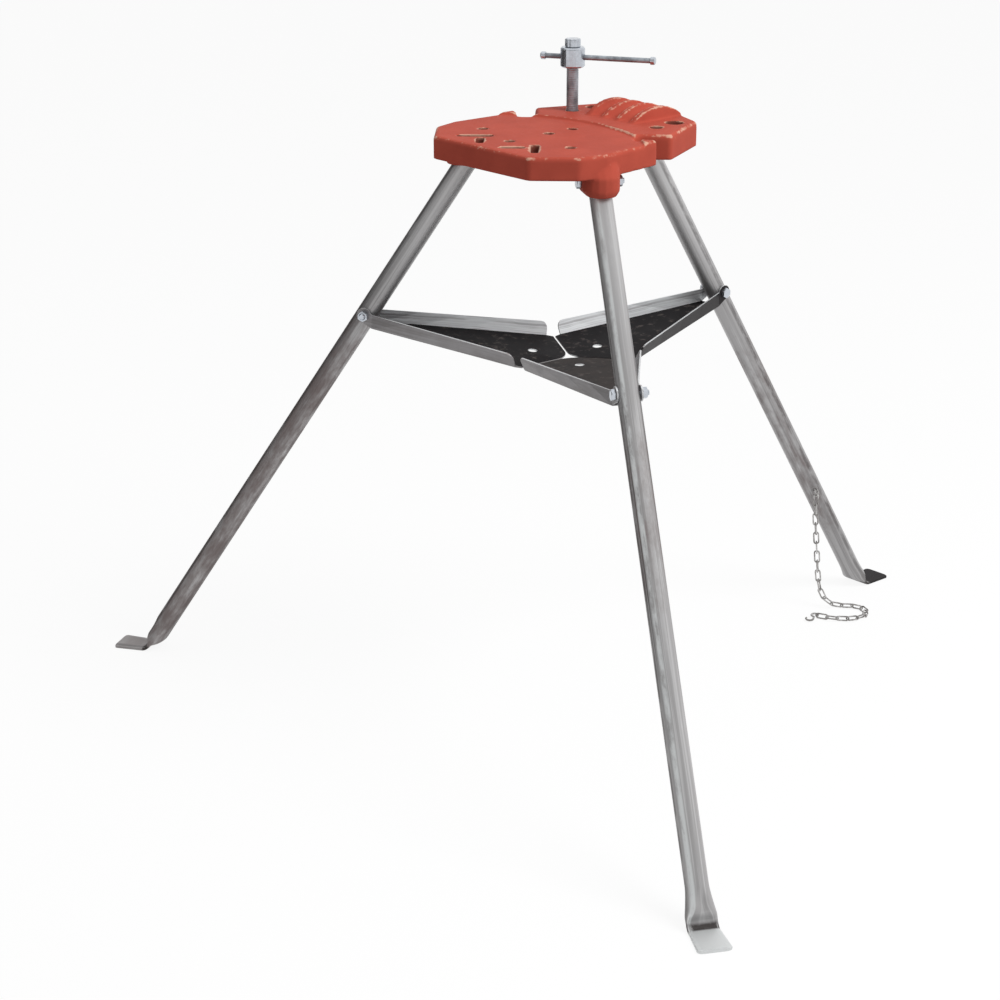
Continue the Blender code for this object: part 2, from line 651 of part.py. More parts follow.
leg_frames = {}
for side, azimuth in LEG_AZIMUTHS.items():
    turn = math.radians(azimuth)
    place = (PIVOT_RADIUS * math.cos(turn), PIVOT_RADIUS * math.sin(turn), PIVOT_HEIGHT)
    leg_frames[side] = empty(f"leg_hinge_{side}", stand, place, azimuth)
    add_hinge_bolt("leg_pivot", side, SOCKET_WIDTH / 2, leg_frames[side])
    leg = lofted(f"{side}_leg", leg_rings(), LEG_STEEL, leg_frames[side])
    tray_place = (TRAY_BOLT_DISTANCE * LEG_SIN, 0.0, -TRAY_BOLT_DISTANCE * LEG_COS)
    leg_holes = [
        cross_pin(BOLT_HOLE_RADIUS, TUBE_DIAMETER, (0.0, 0.0), SMALL_SIDES),
        cross_pin(BOLT_HOLE_RADIUS, TUBE_DIAMETER, (tray_place[0], tray_place[2]), SMALL_SIDES),
    ]
    boolean(leg, "DIFFERENCE", helper(f"leg_holes_{side}", leg_holes, leg_frames[side]))
    tray_frame = empty(f"tray_hinge_{side}", leg_frames[side], tray_place)
    add_hinge_bolt("tray", side, TUBE_RADIUS + EAR_SIDE_GAP + SHEET, tray_frame)
    leaf_frame = empty(f"leaf_slope_{side}", tray_frame, (0, 0, 0))
    leaf_frame.rotation_euler = (0, -math.radians(TRAY_SLOPE), 0)
    add_leaf(side, leaf_frame)

# Ceiling-brace screw: rod, cross-drilled hub, loose cap and sliding handle.
screw_frame = empty("screw_axis", stand, (-BRACE_PLACE[0], BRACE_PLACE[1], STAND_HEIGHT))
hub_top = HUB_LIFT + HUB_HEIGHT
bar_height = HUB_LIFT + HUB_HEIGHT / 2
hub_radius = HUB_DIAMETER / 2
screw_radius = SCREW_DIAMETER / 2
seat_top = HUB_LIFT + SCREW_SEAT
screw_profile = [(screw_radius, -SCREW_BELOW_TOP), (screw_radius, seat_top - CLEARANCE)]
lofted("brace_screw", turned(screw_profile), ZINC, screw_frame)

hub_profile = [
    (screw_radius + CLEARANCE, seat_top),
    (screw_radius + CLEARANCE, HUB_LIFT),
    (hub_radius - HUB_CHAMFER, HUB_LIFT),
    (hub_radius, HUB_LIFT + HUB_CHAMFER),
    (hub_radius, hub_top - HUB_CHAMFER),
    (hub_radius - HUB_CHAMFER, hub_top),
    (SPIGOT_DIAMETER / 2, hub_top),
    (SPIGOT_DIAMETER / 2, hub_top + SPIGOT_HEIGHT),
]
hub = lofted("brace_hub", turned(hub_profile), ZINC, screw_frame)
bar_frame = empty("bar_axis", screw_frame, (0, 0, bar_height), BAR_AZIMUTH - 90)
bar_way = cross_pin(BAR_DIAMETER / 2 + BAR_HOLE_GAP, HUB_DIAMETER, (0.0, 0.0))
boolean(hub, "DIFFERENCE", helper("bar_way", [bar_way], bar_frame))

cap_radius = CAP_DIAMETER / 2
cap_low = hub_top + CLEARANCE
cap_profile = [
    (SPIGOT_DIAMETER / 2 + CLEARANCE, hub_top + SPIGOT_HEIGHT + CLEARANCE),
    (SPIGOT_DIAMETER / 2 + CLEARANCE, cap_low),
    (cap_radius, cap_low),
    (cap_radius, cap_low + CAP_HEIGHT - CAP_CHAMFER),
    (cap_radius - CAP_CHAMFER, cap_low + CAP_HEIGHT),
]
lofted("swivel_cap", turned(cap_profile), ZINC, screw_frame)


def along_bar(profile):
    """Rings of a turned solid along the bar, which lies on Y of its frame."""
    return [crosswise(circle(radius), y) for radius, y in profile]


bar_radius = BAR_DIAMETER / 2
knob_wall = KNOB_LENGTH / 3
bar_ends = (-BAR_SHORT_END + knob_wall + CLEARANCE, BAR_LONG_END - knob_wall - CLEARANCE)
lofted("handle_bar", along_bar([(bar_radius, bar_ends[0]), (bar_radius, bar_ends[1])]), ZINC, bar_frame)
for name, end, sign in (("short", BAR_SHORT_END, -1), ("long", BAR_LONG_END, 1)):
    knob_radius = KNOB_DIAMETER / 2
    knob_profile = [
        (bar_radius + CLEARANCE, end - knob_wall),
        (bar_radius + CLEARANCE, end - KNOB_LENGTH),
        (knob_radius, end - KNOB_LENGTH),
        (knob_radius, end - KNOB_ROUND),
        (knob_radius - KNOB_ROUND, end),
    ]
    rings = along_bar([(radius, sign * y) for radius, y in knob_profile])
    lofted(f"handle_knob_{name}", rings, ZINC, bar_frame)


# Chain: a wire eye on the rear leg, separate links and an end hook.
def wire(name, points, diameter, material, parent):
    """A round wire through the points, with flat ends."""
    curve = bpy.data.curves.new(name, "CURVE")
    curve.dimensions = "3D"
    curve.bevel_depth = diameter / 2
    curve.bevel_resolution = 1
    curve.use_fill_caps = True
    spline = curve.splines.new("POLY")
    spline.points.add(len(points) - 1)
    for point, place in zip(spline.points, points):
        point.co = (*place, 1.0)
    curve.materials.append(material)
    obj = bpy.data.objects.new(name, curve)
    obj.parent = parent
    bpy.context.scene.collection.objects.link(obj)
    return obj


def arc(centre, first, second, radius, start, end, steps):
    """Points of an arc about a centre, from one direction towards the other."""
    angles = np.radians(np.linspace(start, end, steps + 1))
    return [centre + radius * (math.cos(a) * first + math.sin(a) * second) for a in angles]


# The eye stands out of the rear leg, turned from the leg's inner side, with its ring upright.
eye_distance = (PIVOT_HEIGHT - CHAIN_EYE_HEIGHT) / LEG_COS
eye_foot = np.array((eye_distance * LEG_SIN, 0.0, -eye_distance * LEG_COS))
inner_side = np.array((-LEG_COS, 0.0, -LEG_SIN))
eye_turn = math.radians(EYE_TURN)
off_tube = math.cos(eye_turn) * inner_side - math.sin(eye_turn) * np.array((0.0, 1.0, 0.0))
down_ring = off_tube * off_tube[2] - np.array((0.0, 0.0, 1.0))
down_ring /= np.linalg.norm(down_ring)
eye_middle = eye_foot + off_tube * (TUBE_RADIUS + CLEARANCE + EYE_SHANK + EYE_RADIUS)
eye_wire = [eye_foot + off_tube * (TUBE_RADIUS + CLEARANCE)]
eye_wire += arc(eye_middle, -off_tube, down_ring, EYE_RADIUS, 0, 310, 2 * EAR_STEPS)
wire("chain_eye", eye_wire, EYE_WIRE, CHAIN_STEEL, leg_frames["rear"])


def smooth_route(points, steps=24):
    """A smooth curve through the points, each stretch a cubic whose ends follow the neighbouring points."""
    points = np.asarray(points, float)
    padded = np.concatenate([2 * points[:1] - points[1:2], points, 2 * points[-1:] - points[-2:-1]])
    share = np.linspace(0, 1, steps, endpoint=False)[:, None]
    curve = []
    for a, b, c, d in zip(padded, padded[1:], padded[2:], padded[3:]):
        bend = (2 * a - 5 * b + 4 * c - d) * share**2 + (3 * b - a - 3 * c + d) * share**3
        curve.append(b + ((c - a) * share + bend) / 2)
    return np.concatenate([*curve, points[-1:]])


def joints_along(curve, spacing, count):
    """Points along a curve, each at the same straight distance from the one before."""
    joints, passed = [curve[0]], 0
    for _ in range(count):
        away = np.linalg.norm(curve[passed:] - joints[-1], axis=1)
        passed += int(np.argmax(away >= spacing))
        ahead = curve[passed] - joints[-1]
        joints.append(joints[-1] + ahead * spacing / np.linalg.norm(ahead))
    return np.array(joints)


link_bend = (LINK_WIDTH - LINK_WIRE) / 2
link_straight = (LINK_LENGTH - LINK_WIDTH) / 2
link_inner_half = LINK_LENGTH / 2 - LINK_WIRE
link_pitch = 2 * link_inner_half - LINK_SLACK


def link_rings(centre, ahead, across):
    """A link's wire carried round its loop: two straights and two half circles, in one plane."""
    flat = np.cross(ahead, across)
    rings = []
    for end in (1, -1):
        for turn in np.linspace(-90, 90, LINK_BEND_STEPS + 1):
            angle = math.radians(turn)
            out = end * (math.cos(angle) * ahead + math.sin(angle) * across)
            middle = centre + end * link_straight * ahead + link_bend * out
            section = circle(LINK_WIRE / 2, LINK_SIDES)
            rings.append(middle + section[:, :1] * out + section[:, 1:] * flat)
    return rings


ring_low = np.array((-eye_middle[1], PIVOT_RADIUS + eye_middle[0], PIVOT_HEIGHT + eye_middle[2] - EYE_RADIUS))
first_link = ring_low + (0, 0, EYE_WIRE / 2 + CLEARANCE - link_inner_half)
first_joint = first_link + (0, 0, link_pitch / 2)
route = smooth_route([first_joint, first_joint - (0, 0, 2 * link_pitch), *CHAIN_ROUTE])
link_joints = joints_along(route, link_pitch, LINK_COUNT)
link_centres = (link_joints[1:] + link_joints[:-1]) / 2
link_aheads = (link_joints[1:] - link_joints[:-1]) / link_pitch
carried = np.array((off_tube[0], off_tube[1], 0.0))  # level, and square to the ring in the stand's frame
for index, (centre, ahead) in enumerate(zip(link_centres, link_aheads)):
    carried = carried - ahead * (carried @ ahead)
    carried /= np.linalg.norm(carried)
    laid = 45 * min(1, index / HANGING_LINKS)
    stood = LAST_TURN * max(0, index + 1 + LAST_LINKS - LINK_COUNT) / LAST_LINKS
    twist = math.radians(90 * index + laid + stood)
    across = math.cos(twist) * carried + math.sin(twist) * np.cross(ahead, carried)
    lofted(f"chain_link_{index + 1:02d}", link_rings(centre, ahead, across), CHAIN_STEEL, stand, closed=True)

# The hook's eye passes through the last link, which stands on edge, and the hook turns aside and lies down.
beside = np.cross(ahead, across)
beside *= math.copysign(1.0, ahead[0] * beside[1] - ahead[1] * beside[0])
eye_reach = link_inner_half - HOOK_WIRE / 2 - CLEARANCE + HOOK_EYE_RADIUS
eye_centre = centre + ahead * eye_reach
turn, drop = math.radians(HOOK_TURN), math.radians(HOOK_DROP)
hook_side = math.cos(turn) * beside - math.sin(turn) * ahead
hook_ahead = math.cos(turn) * ahead + math.sin(turn) * beside
hook_ahead = math.cos(drop) * hook_ahead - math.sin(drop) * np.array((0.0, 0.0, 1.0))
bend_middle = eye_centre + hook_ahead * (HOOK_EYE_RADIUS + HOOK_SHANK) - hook_side * HOOK_BEND_RADIUS
hook = arc(eye_centre, hook_ahead, hook_side, HOOK_EYE_RADIUS, -300, 0, 2 * EAR_STEPS)
hook += arc(bend_middle, hook_ahead, hook_side, HOOK_BEND_RADIUS, 90, -110, EAR_STEPS)
wire("chain_hook", hook, HOOK_WIRE, CHAIN_STEEL, stand)
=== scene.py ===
"""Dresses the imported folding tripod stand: its finishes, finer pieces, studio light and camera."""
import json
import math

import bpy
import numpy as np
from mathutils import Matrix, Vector


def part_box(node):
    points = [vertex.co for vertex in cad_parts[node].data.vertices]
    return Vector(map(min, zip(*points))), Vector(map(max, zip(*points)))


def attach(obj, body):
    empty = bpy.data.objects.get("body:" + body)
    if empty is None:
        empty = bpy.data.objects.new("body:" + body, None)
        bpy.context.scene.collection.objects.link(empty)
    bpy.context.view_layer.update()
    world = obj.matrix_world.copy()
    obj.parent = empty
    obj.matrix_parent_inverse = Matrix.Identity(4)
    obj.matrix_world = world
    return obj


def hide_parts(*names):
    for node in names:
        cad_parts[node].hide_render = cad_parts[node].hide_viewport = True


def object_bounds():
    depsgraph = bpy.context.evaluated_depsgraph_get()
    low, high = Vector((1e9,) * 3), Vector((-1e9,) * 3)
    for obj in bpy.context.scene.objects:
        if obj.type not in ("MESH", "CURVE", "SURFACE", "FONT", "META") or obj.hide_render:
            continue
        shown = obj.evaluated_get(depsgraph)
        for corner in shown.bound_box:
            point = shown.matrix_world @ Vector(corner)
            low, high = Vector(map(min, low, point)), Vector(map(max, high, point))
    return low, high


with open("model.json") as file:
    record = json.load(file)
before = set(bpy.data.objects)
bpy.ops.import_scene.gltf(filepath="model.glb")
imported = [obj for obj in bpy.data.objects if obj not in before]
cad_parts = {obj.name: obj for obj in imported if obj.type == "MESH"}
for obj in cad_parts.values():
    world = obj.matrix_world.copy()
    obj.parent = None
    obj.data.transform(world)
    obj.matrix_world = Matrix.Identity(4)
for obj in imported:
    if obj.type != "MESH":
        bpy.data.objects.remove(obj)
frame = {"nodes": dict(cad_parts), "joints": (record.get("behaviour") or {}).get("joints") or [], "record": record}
cad_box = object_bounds()

# Studio: a pale floor, an even sky with a darker room behind the camera and a black flag on the left, and
# one large soft lamp high on the right. The camera stands where the photograph was taken, and places are
# measured from the stand's upright axis, which is midway between the three leg pivots.
SIDES = ("left", "right", "rear")
CAMERA_FROM_AXIS = (2.1710, -2.1324, 1.4366)
CAMERA_AHEAD = (-0.6884, 0.63568, -0.34932)
CAMERA_ROLL = -0.0019
CAMERA_LENS = 85.41
FLOOR_HALF = 30.0
FLOOR_BOUNCE = 0.48
FLOOR_GLOW = 0.90
LAMP_FROM_AXIS = (2.2, 0.70, 3.0)
LAMP_AIM = (0.0, 0.0, 0.6)
LAMP_SIZE = 1.7
LAMP_WATTS = 82.0
SKY_LEVEL = 0.30
SKY_RISE = 0.31
SKY_SPAN = (-0.1, 0.9)
ROOM_SIDE = (0.69, -0.68, 0.24)
ROOM_DARK = 0.50
ROOM_SPAN = (0.30, 0.92)
FLAG_SIDE = (-0.87, -0.48, 0.06)
FLAG_DARK = 0.85
FLAG_SPAN = (0.60, 0.84)
CARD_DISTANCE = 1.6
CARD_HALF = 1.1
CARD_HEIGHTS = (0.06, 0.75)
CARD_BLACK = (0.02, 0.02, 0.02, 1.0)
WHITE = (1.0, 1.0, 1.0, 1.0)

scene = bpy.context.scene
scene.view_settings.view_transform = "Standard"
joints = {joint["name"]: joint for joint in frame["joints"]}
pivots = {side: np.array(joints[f"leg_{side}_fold"]["pos_m"]) for side in SIDES}
tray_pins = {side: np.array(joints[f"leaf_{side}_fold"]["pos_m"]) for side in SIDES}
stand_axis = sum(pivots.values()) / len(SIDES) * (1, 1, 0)


class Value:
    """A socket of a node tree. Sums, differences and products of values add Math nodes."""

    def __init__(self, tree, socket=None):
        self.tree = tree
        self.socket = socket

    def node(self, kind, inputs=None, output=0, **settings):
        """A new node of this kind: its settings first, then the numbers or links of its inputs."""
        made = self.tree.nodes.new(kind)
        for name, setting in settings.items():
            setattr(made, name, setting)
        for key, value in (inputs or {}).items():
            if isinstance(value, Value):
                self.tree.links.new(value.socket, made.inputs[key])
            else:
                made.inputs[key].default_value = value
        return Value(self.tree, made.outputs[output] if made.outputs else None)

    def feed(self, shader, name):
        """Links this value to the input of that name."""
        self.tree.links.new(self.socket, shader.inputs[name])

    def math(self, operation, left, right):
        """One Math node on two values or numbers."""
        return self.node("ShaderNodeMath", {0: left, 1: right}, operation=operation)

    def __add__(self, other):
        return self.math("ADD", self, other)

    def __sub__(self, other):
        return self.math("SUBTRACT", self, other)

    def __rsub__(self, other):
        return self.math("SUBTRACT", other, self)

    def __mul__(self, other):
        return self.math("MULTIPLY", self, other)

    __radd__ = __add__
    __rmul__ = __mul__


def ramp(value, low, high):
    """0 below low, 1 above high, and a smooth step between them."""
    inputs = {"Value": value, "From Min": low, "From Max": high}
    return value.node("ShaderNodeMapRange", inputs, interpolation_type="SMOOTHSTEP")


def seen_rays(start):
    """Two values: 1 for a ray from the camera, and 1 for one reflected or refracted."""
    names = ("Is Camera Ray", "Is Glossy Ray", "Is Transmission Ray")
    camera, glossy, through = (start.node("ShaderNodeLightPath", output=name) for name in names)
    return camera, glossy + through


def bare_tree(holder):
    """A value to start the nodes of a world or a material from, once its own nodes are cleared."""
    holder.use_nodes = True
    holder.node_tree.nodes.clear()
    return Value(holder.node_tree)


def shown(name, data):
    """A new object in the scene, at the origin, that holds a mesh, a lamp or a camera."""
    made = bpy.data.objects.new(name, data)
    scene.collection.objects.link(made)
    return made


def staged(name, corners):
    """A flat sheet of the studio between four corners, with a material of its own."""
    mesh = bpy.data.meshes.new(name)
    mesh.from_pydata(np.array(corners).tolist(), [], [(0, 1, 2, 3)])
    mesh.materials.append(bpy.data.materials.new(name))
    sheet = shown(name, mesh)
    return sheet


def towards(vector, direction):
    """The length of a vector along a fixed direction: their dot product."""
    inputs = {0: vector, 1: direction}
    return vector.node("ShaderNodeVectorMath", inputs, "Value", operation="DOT_PRODUCT")


world = bpy.data.worlds.new("studio_sky")
scene.world = world
sky = bare_tree(world)
ray = sky.node("ShaderNodeTexCoord", output="Generated")
rise = sky.node("ShaderNodeSeparateXYZ", {0: ray}, output="Z")
camera_ray, gloss_ray = seen_rays(sky)
sky_level = SKY_LEVEL + SKY_RISE * ramp(rise, *SKY_SPAN)
room_level = 1.0 - ROOM_DARK * ramp(towards(ray, ROOM_SIDE), *ROOM_SPAN)
gloss_level = room_level * (1.0 - FLAG_DARK * ramp(towards(ray, FLAG_SIDE), *FLAG_SPAN))
sky_shown = sky_level * (1.0 - camera_ray - gloss_ray) + camera_ray + gloss_level * gloss_ray
backdrop = sky.node("ShaderNodeBackground", {"Color": WHITE, "Strength": sky_shown})
sky.node("ShaderNodeOutputWorld", {"Surface": backdrop})

floor_corners = [(x * FLOOR_HALF, y * FLOOR_HALF, 0.0) for x, y in ((-1, -1), (1, -1), (1, 1), (-1, 1))]
studio_floor = staged("studio_floor", floor_corners)
paper = bare_tree(studio_floor.active_material)
camera_ray, gloss_ray = seen_rays(paper)
matt_level = FLOOR_BOUNCE + (1.0 - FLOOR_BOUNCE) * (camera_ray + gloss_ray)
matt = paper.node("ShaderNodeBsdfDiffuse", {"Color": matt_level})
glow = paper.node("ShaderNodeEmission", {"Color": WHITE, "Strength": 1.0})
glow_share = FLOOR_GLOW * (camera_ray + gloss_ray)
floor_surface = paper.node("ShaderNodeMixShader", {0: glow_share, 1: matt, 2: glow})
paper.node("ShaderNodeOutputMaterial", {"Surface": floor_surface})

flag_side = np.array(FLAG_SIDE) * (1, 1, 0) / math.hypot(*FLAG_SIDE[:2])
flag_along = np.array((-flag_side[1], flag_side[0], 0.0)) * CARD_HALF
card_foot = stand_axis + flag_side * CARD_DISTANCE
card_low, card_high = (np.array((0.0, 0.0, height)) for height in CARD_HEIGHTS)
card_ends = ((-1, card_low), (1, card_low), (1, card_high), (-1, card_high))
studio_flag = staged("studio_flag", [card_foot + end * flag_along + up for end, up in card_ends])
felt = bare_tree(studio_flag.active_material)
felt_surface = felt.node("ShaderNodeBsdfDiffuse", {"Color": CARD_BLACK})
felt.node("ShaderNodeOutputMaterial", {"Surface": felt_surface})
studio_flag.visible_camera = False
studio_flag.visible_diffuse = False
studio_flag.visible_shadow = False

lamp = shown("soft_lamp", bpy.data.lights.new("soft_lamp", "AREA"))
lamp.data.energy = LAMP_WATTS
lamp.data.size = LAMP_SIZE
lamp.location = stand_axis + LAMP_FROM_AXIS
lamp_ahead = Vector(stand_axis + LAMP_AIM) - lamp.location
lamp.rotation_euler = lamp_ahead.to_track_quat("-Z", "Y").to_euler()
lamp.visible_glossy = False

camera = shown("camera", bpy.data.cameras.new("camera"))
camera.data.lens = CAMERA_LENS
camera.location = stand_axis + CAMERA_FROM_AXIS
camera.rotation_euler = Vector(CAMERA_AHEAD).to_track_quat("-Z", "Y").to_euler()
camera.rotation_euler.rotate_axis("Z", CAMERA_ROLL)
scene.camera = camera

# Cast top: one sand casting of iron with a skirt, leg sockets and a ribbed pipe rest, shot with red paint.
# Use has rubbed the paint off the ribs, the riser, the outer edges and the rims of the drilled holes. The
# bores are darkened with painted shade, and the bare rims are painted lighter on the walls that face the
# camera side, as a painted highlight.
CAST_CELL = 0.00175
CAST_RELAX = 2
RELAX_SHARE = 0.5
MERGE_REACH = 1e-5
RED = (0.500, 0.089, 0.058, 1.0)
RED_DEEP = (0.436, 0.076, 0.050, 1.0)
RUBBED = (0.740, 0.440, 0.320, 1.0)
HOLE_PAINTED_SHADE = (0.150, 0.050, 0.036, 1.0)
HOLE_SHOULDER = 0.0024
HOLE_STEEP = 0.80
HOLE_RIM = 0.0022
RIM_FADE = 1.5
RIM_HIGHLIGHT_SIDE = (0.7, -0.7, 0.0)
WORN_ALL = 0.2
EDGE_MOST = 0.10
EDGE_EVENING = 3
EDGE_SHARE = 0.8
EDGE_UP = 2.5
PLATE_TOP = 0.8146
REAR_RISE = 0.003
RISER_APEX = 0.040
RISER_RADIUS = 0.232
RISER_WORN = 0.0022
RISER_FADE = 30.0
HUMP_FOOT = 0.004
VISE_HOLES = ((0.0, -0.110), (0.0, -0.041), (0.0, 0.0014), (0.081, -0.0813), (-0.081, -0.0813))
HOLE_RADIUS = 0.00625
SLOTS = ((0.0554, -0.1187, 0.047, 135.0), (0.030, -0.1335, 0.032, 45.0))
SLOT_RADIUS = 0.005
TOOL_HOLES = ((0.073, 0.115), (-0.073, 0.115))
TOOL_RADIUS = 0.0115
COLLAR_TOP = 0.004
COLLAR_DEPTH = 0.021
COLLAR_WALL = 0.006
COLLAR_SIDES = 48
BRACE_HOLES = ((0.0775, 0.0765), (-0.0775, 0.0765))
BRACE_RADIUS = 0.0083


def new_finish(name, metallic=0.0, specular=0.5):
    """A Principled material: the material, its shader and a value to start its nodes from."""
    material = bpy.data.materials.new(name)
    material.use_nodes = True
    shader = material.node_tree.nodes["Principled BSDF"]
    shader.inputs["Metallic"].default_value = metallic
    shader.inputs["Specular IOR Level"].default_value = specular
    return material, shader, Value(material.node_tree)


def stretched(start, coordinates, scales):
    """Coordinates multiplied by three numbers, so a pattern can run longer one way."""
    inputs = {0: coordinates, 1: scales}
    return start.node("ShaderNodeVectorMath", inputs, operation="MULTIPLY")


def cloud(start, coordinates, scale, detail=3.0, rough=0.5):
    """Smooth noise about 0.5, with blotches about one over scale metres wide."""
    inputs = {"Vector": coordinates, "Scale": scale, "Detail": detail, "Roughness": rough}
    return start.node("ShaderNodeTexNoise", inputs)


def blend(share, first, second):
    """A colour between two colours: the first at share 0 and the second at share 1."""
    return share.node("ShaderNodeMix", {0: share, 6: first, 7: second}, 2, data_type="RGBA")


def relief(height, strength, depth):
    """A bumped normal from a height between 0 and 1."""
    inputs = {"Strength": strength, "Distance": depth, "Height": height}
    return height.node("ShaderNodeBump", inputs)


def attribute(start, name, output="Fac"):
    """What the mesh keeps at each point under this name."""
    return start.node("ShaderNodeAttribute", output=output, attribute_name=name)


def point_rows(mesh, key):
    """One row of three numbers for each point of a mesh: its place or its normal."""
    rows = np.empty(len(mesh.vertices) * 3, np.float32)
    mesh.vertices.foreach_get(key, rows)
    return rows.reshape(-1, 3).astype(float)


def skin(rows, loop=False):
    """Points and faces of a closed skin over a grid of points: each row is a ring, neighbouring rows are
    joined by quads, and the end rows are capped, or joined to each other for a loop. The faces are turned
    round where the volume inside comes out below 0, so that they point outwards."""
    rows = np.asarray(rows, float)
    index = np.arange(rows.shape[0] * rows.shape[1]).reshape(rows.shape[:2])
    low, high = (index, np.roll(index, -1, 0)) if loop else (index[:-1], index[1:])
    quads = np.stack([low, np.roll(low, -1, 1), np.roll(high, -1, 1), high], -1).reshape(-1, 4)
    points = rows.reshape(-1, 3)
    corners = (points - points.mean(0))[quads]
    volume = np.einsum("ij,ij->", corners[:, 0], np.cross(corners[:, 1], corners[:, 2]))
    volume += np.einsum("ij,ij->", corners[:, 0], np.cross(corners[:, 2], corners[:, 3]))
    caps = [] if loop else [index[0, ::-1], index[-1]]
    turn = 1 if volume > 0 else -1
    return points, quads[:, ::turn].tolist() + [cap[::turn].tolist() for cap in caps]


def joined(*skins):
    """The points and faces of several skins as those of one mesh, each face's numbers counted on."""
    starts = np.cumsum([0] + [len(points) for points, _ in skins]).tolist()
    faces = []
    for start, (_, part) in zip(starts, skins):
        faces += [[corner + start for corner in face] for face in part]
    return np.concatenate([points for points, _ in skins]), faces


def round_angles(sides):
    """The angles of a ring's points, evenly over a full turn."""
    return np.arange(sides) * 2 * math.pi / sides


def slot_collar(x, y, radius, length, turn):
    """A wall under the plate round a slot: a circle pulled apart along the slot, at the slot's own wall
    and again a collar's thickness outside it, from inside the plate down to the collar's depth."""
    angles = round_angles(COLLAR_SIDES)
    circle = np.stack([np.cos(angles), np.sin(angles)], 1)
    pulled = np.stack([np.where(circle[:, 0] > 0, 1, -1) * (length / 2 - radius), 0 * angles], 1)
    cosine, sine = math.cos(math.radians(turn)), math.sin(math.radians(turn))
    rows = np.empty((4, COLLAR_SIDES, 3))
    for row, wall, deep in zip(rows, (0, 0, 1, 1), (COLLAR_TOP, COLLAR_DEPTH, COLLAR_DEPTH, COLLAR_TOP)):
        plan = (radius + wall * COLLAR_WALL) * circle + pulled
        row[:, :2] = plan @ np.array(((cosine, sine), (-sine, cosine))) + (x, y) + stand_axis[:2]
        row[:, 2] = PLATE_TOP - deep
    return skin(rows, loop=True)


def evened_copy(name, node, cell, rounds, added=()):
    """A merged copy of a node with any added skins, rebuilt as one on even cells and relaxed, so that each
    sharp edge rounds by a cell."""
    corners = np.empty(len(node.data.loops), np.int32)
    node.data.loops.foreach_get("vertex_index", corners)
    points, faces = joined((point_rows(node.data, "co"), corners.reshape(-1, 3).tolist()), *added)
    rough = bpy.data.meshes.new(name)
    rough.from_pydata(points.tolist(), [], faces)
    piece = shown(name, rough)
    piece.modifiers.new("merge", "WELD").merge_threshold = MERGE_REACH
    cells = piece.modifiers.new("cells", "REMESH")
    cells.mode = "VOXEL"
    cells.voxel_size = cell
    relax = piece.modifiers.new("relax", "SMOOTH")
    relax.factor = RELAX_SHARE
    relax.iterations = rounds
    evaluated = piece.evaluated_get(bpy.context.evaluated_depsgraph_get())
    mesh = bpy.data.meshes.new_from_object(evaluated)
    piece.modifiers.clear()
    piece.data = mesh
    mesh.materials.clear()
    mesh.shade_smooth()
    return piece


def edge_stand(mesh, cell):
    """How far each point stands out of the middle of its neighbours along its normal, in cells, evened
    over the neighbours a few times: above 0 on an outer edge, below 0 in an inner one."""
    points, normals = point_rows(mesh, "co"), point_rows(mesh, "normal")
    ends = np.empty(len(mesh.edges) * 2, np.int32)
    mesh.edges.foreach_get("vertices", ends)
    first, second = ends.reshape(-1, 2).T
    count = len(points)
    near = np.bincount(first, minlength=count) + np.bincount(second, minlength=count)

    def middle(column):
        """The mean of a number over the neighbours of each point."""
        total = np.bincount(first, column[second], count) + np.bincount(second, column[first], count)
        return total / near

    stand = ((points - np.stack([middle(column) for column in points.T], 1)) * normals).sum(1) / cell
    for _ in range(EDGE_EVENING):
        stand = (stand + middle(stand)) / 2
    return stand


def slot_distance(points, x, y, radius, length=0.0, turn=0.0):
    """Distance in plan from a round-ended slot's wall: from the nearest point of its middle line, less
    its radius. A slot of no length is a round hole."""
    along = np.array((math.cos(math.radians(turn)), math.sin(math.radians(turn))))
    apart = points[:, :2] - stand_axis[:2] - (x, y)
    half = max(0.0, length / 2 - radius)
    nearest = np.clip(apart @ along, -half, half)[:, None] * along
    return np.linalg.norm(apart - nearest, axis=1) - radius


def store(mesh, name, values):
    """Keeps one number a point in the mesh, under a name that a material reads."""
    mesh.attributes.new(name, "FLOAT", "POINT").data.foreach_set("value", values.astype(np.float32))


def fitted(piece, slot, *nodes):
    """Puts a piece in the place of these nodes: it moves with their body. The slot is not used."""
    bodies = frame["record"]["behaviour"]["bodies"]
    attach(piece, next(body for body, held in bodies.items() if nodes[0] in held))
    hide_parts(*nodes)


slots = [(sign * x, y, SLOT_RADIUS, long, sign * turn) for x, y, long, turn in SLOTS for sign in (1, -1)]
collars = [slot_collar(*slot) for slot in slots]
cast_top = evened_copy("cast_top", frame["nodes"]["top_casting"], CAST_CELL, CAST_RELAX, collars)
cast_points, cast_normals = point_rows(cast_top.data, "co"), point_rows(cast_top.data, "normal")
round_holes = ((HOLE_RADIUS, VISE_HOLES), (TOOL_RADIUS, TOOL_HOLES), (BRACE_RADIUS, BRACE_HOLES))
holes = slots + [(x, y, radius) for radius, places in round_holes for x, y in places]
wall_distance = np.min([np.abs(slot_distance(cast_points, *hole)) for hole in holes], axis=0)
cast_x, cast_y = (cast_points - stand_axis)[:, :2].T
behind_riser = cast_y - RISER_APEX + RISER_RADIUS - np.sqrt(RISER_RADIUS**2 - cast_x**2)
depth = PLATE_TOP + REAR_RISE * (behind_riser > 0) - cast_points[:, 2]
steep = np.abs(cast_normals[:, 2]) < HOLE_STEEP
bored = (wall_distance < HOLE_SHOULDER) & steep & (depth < COLLAR_DEPTH)
store(cast_top.data, "bored", bored * 1.0)
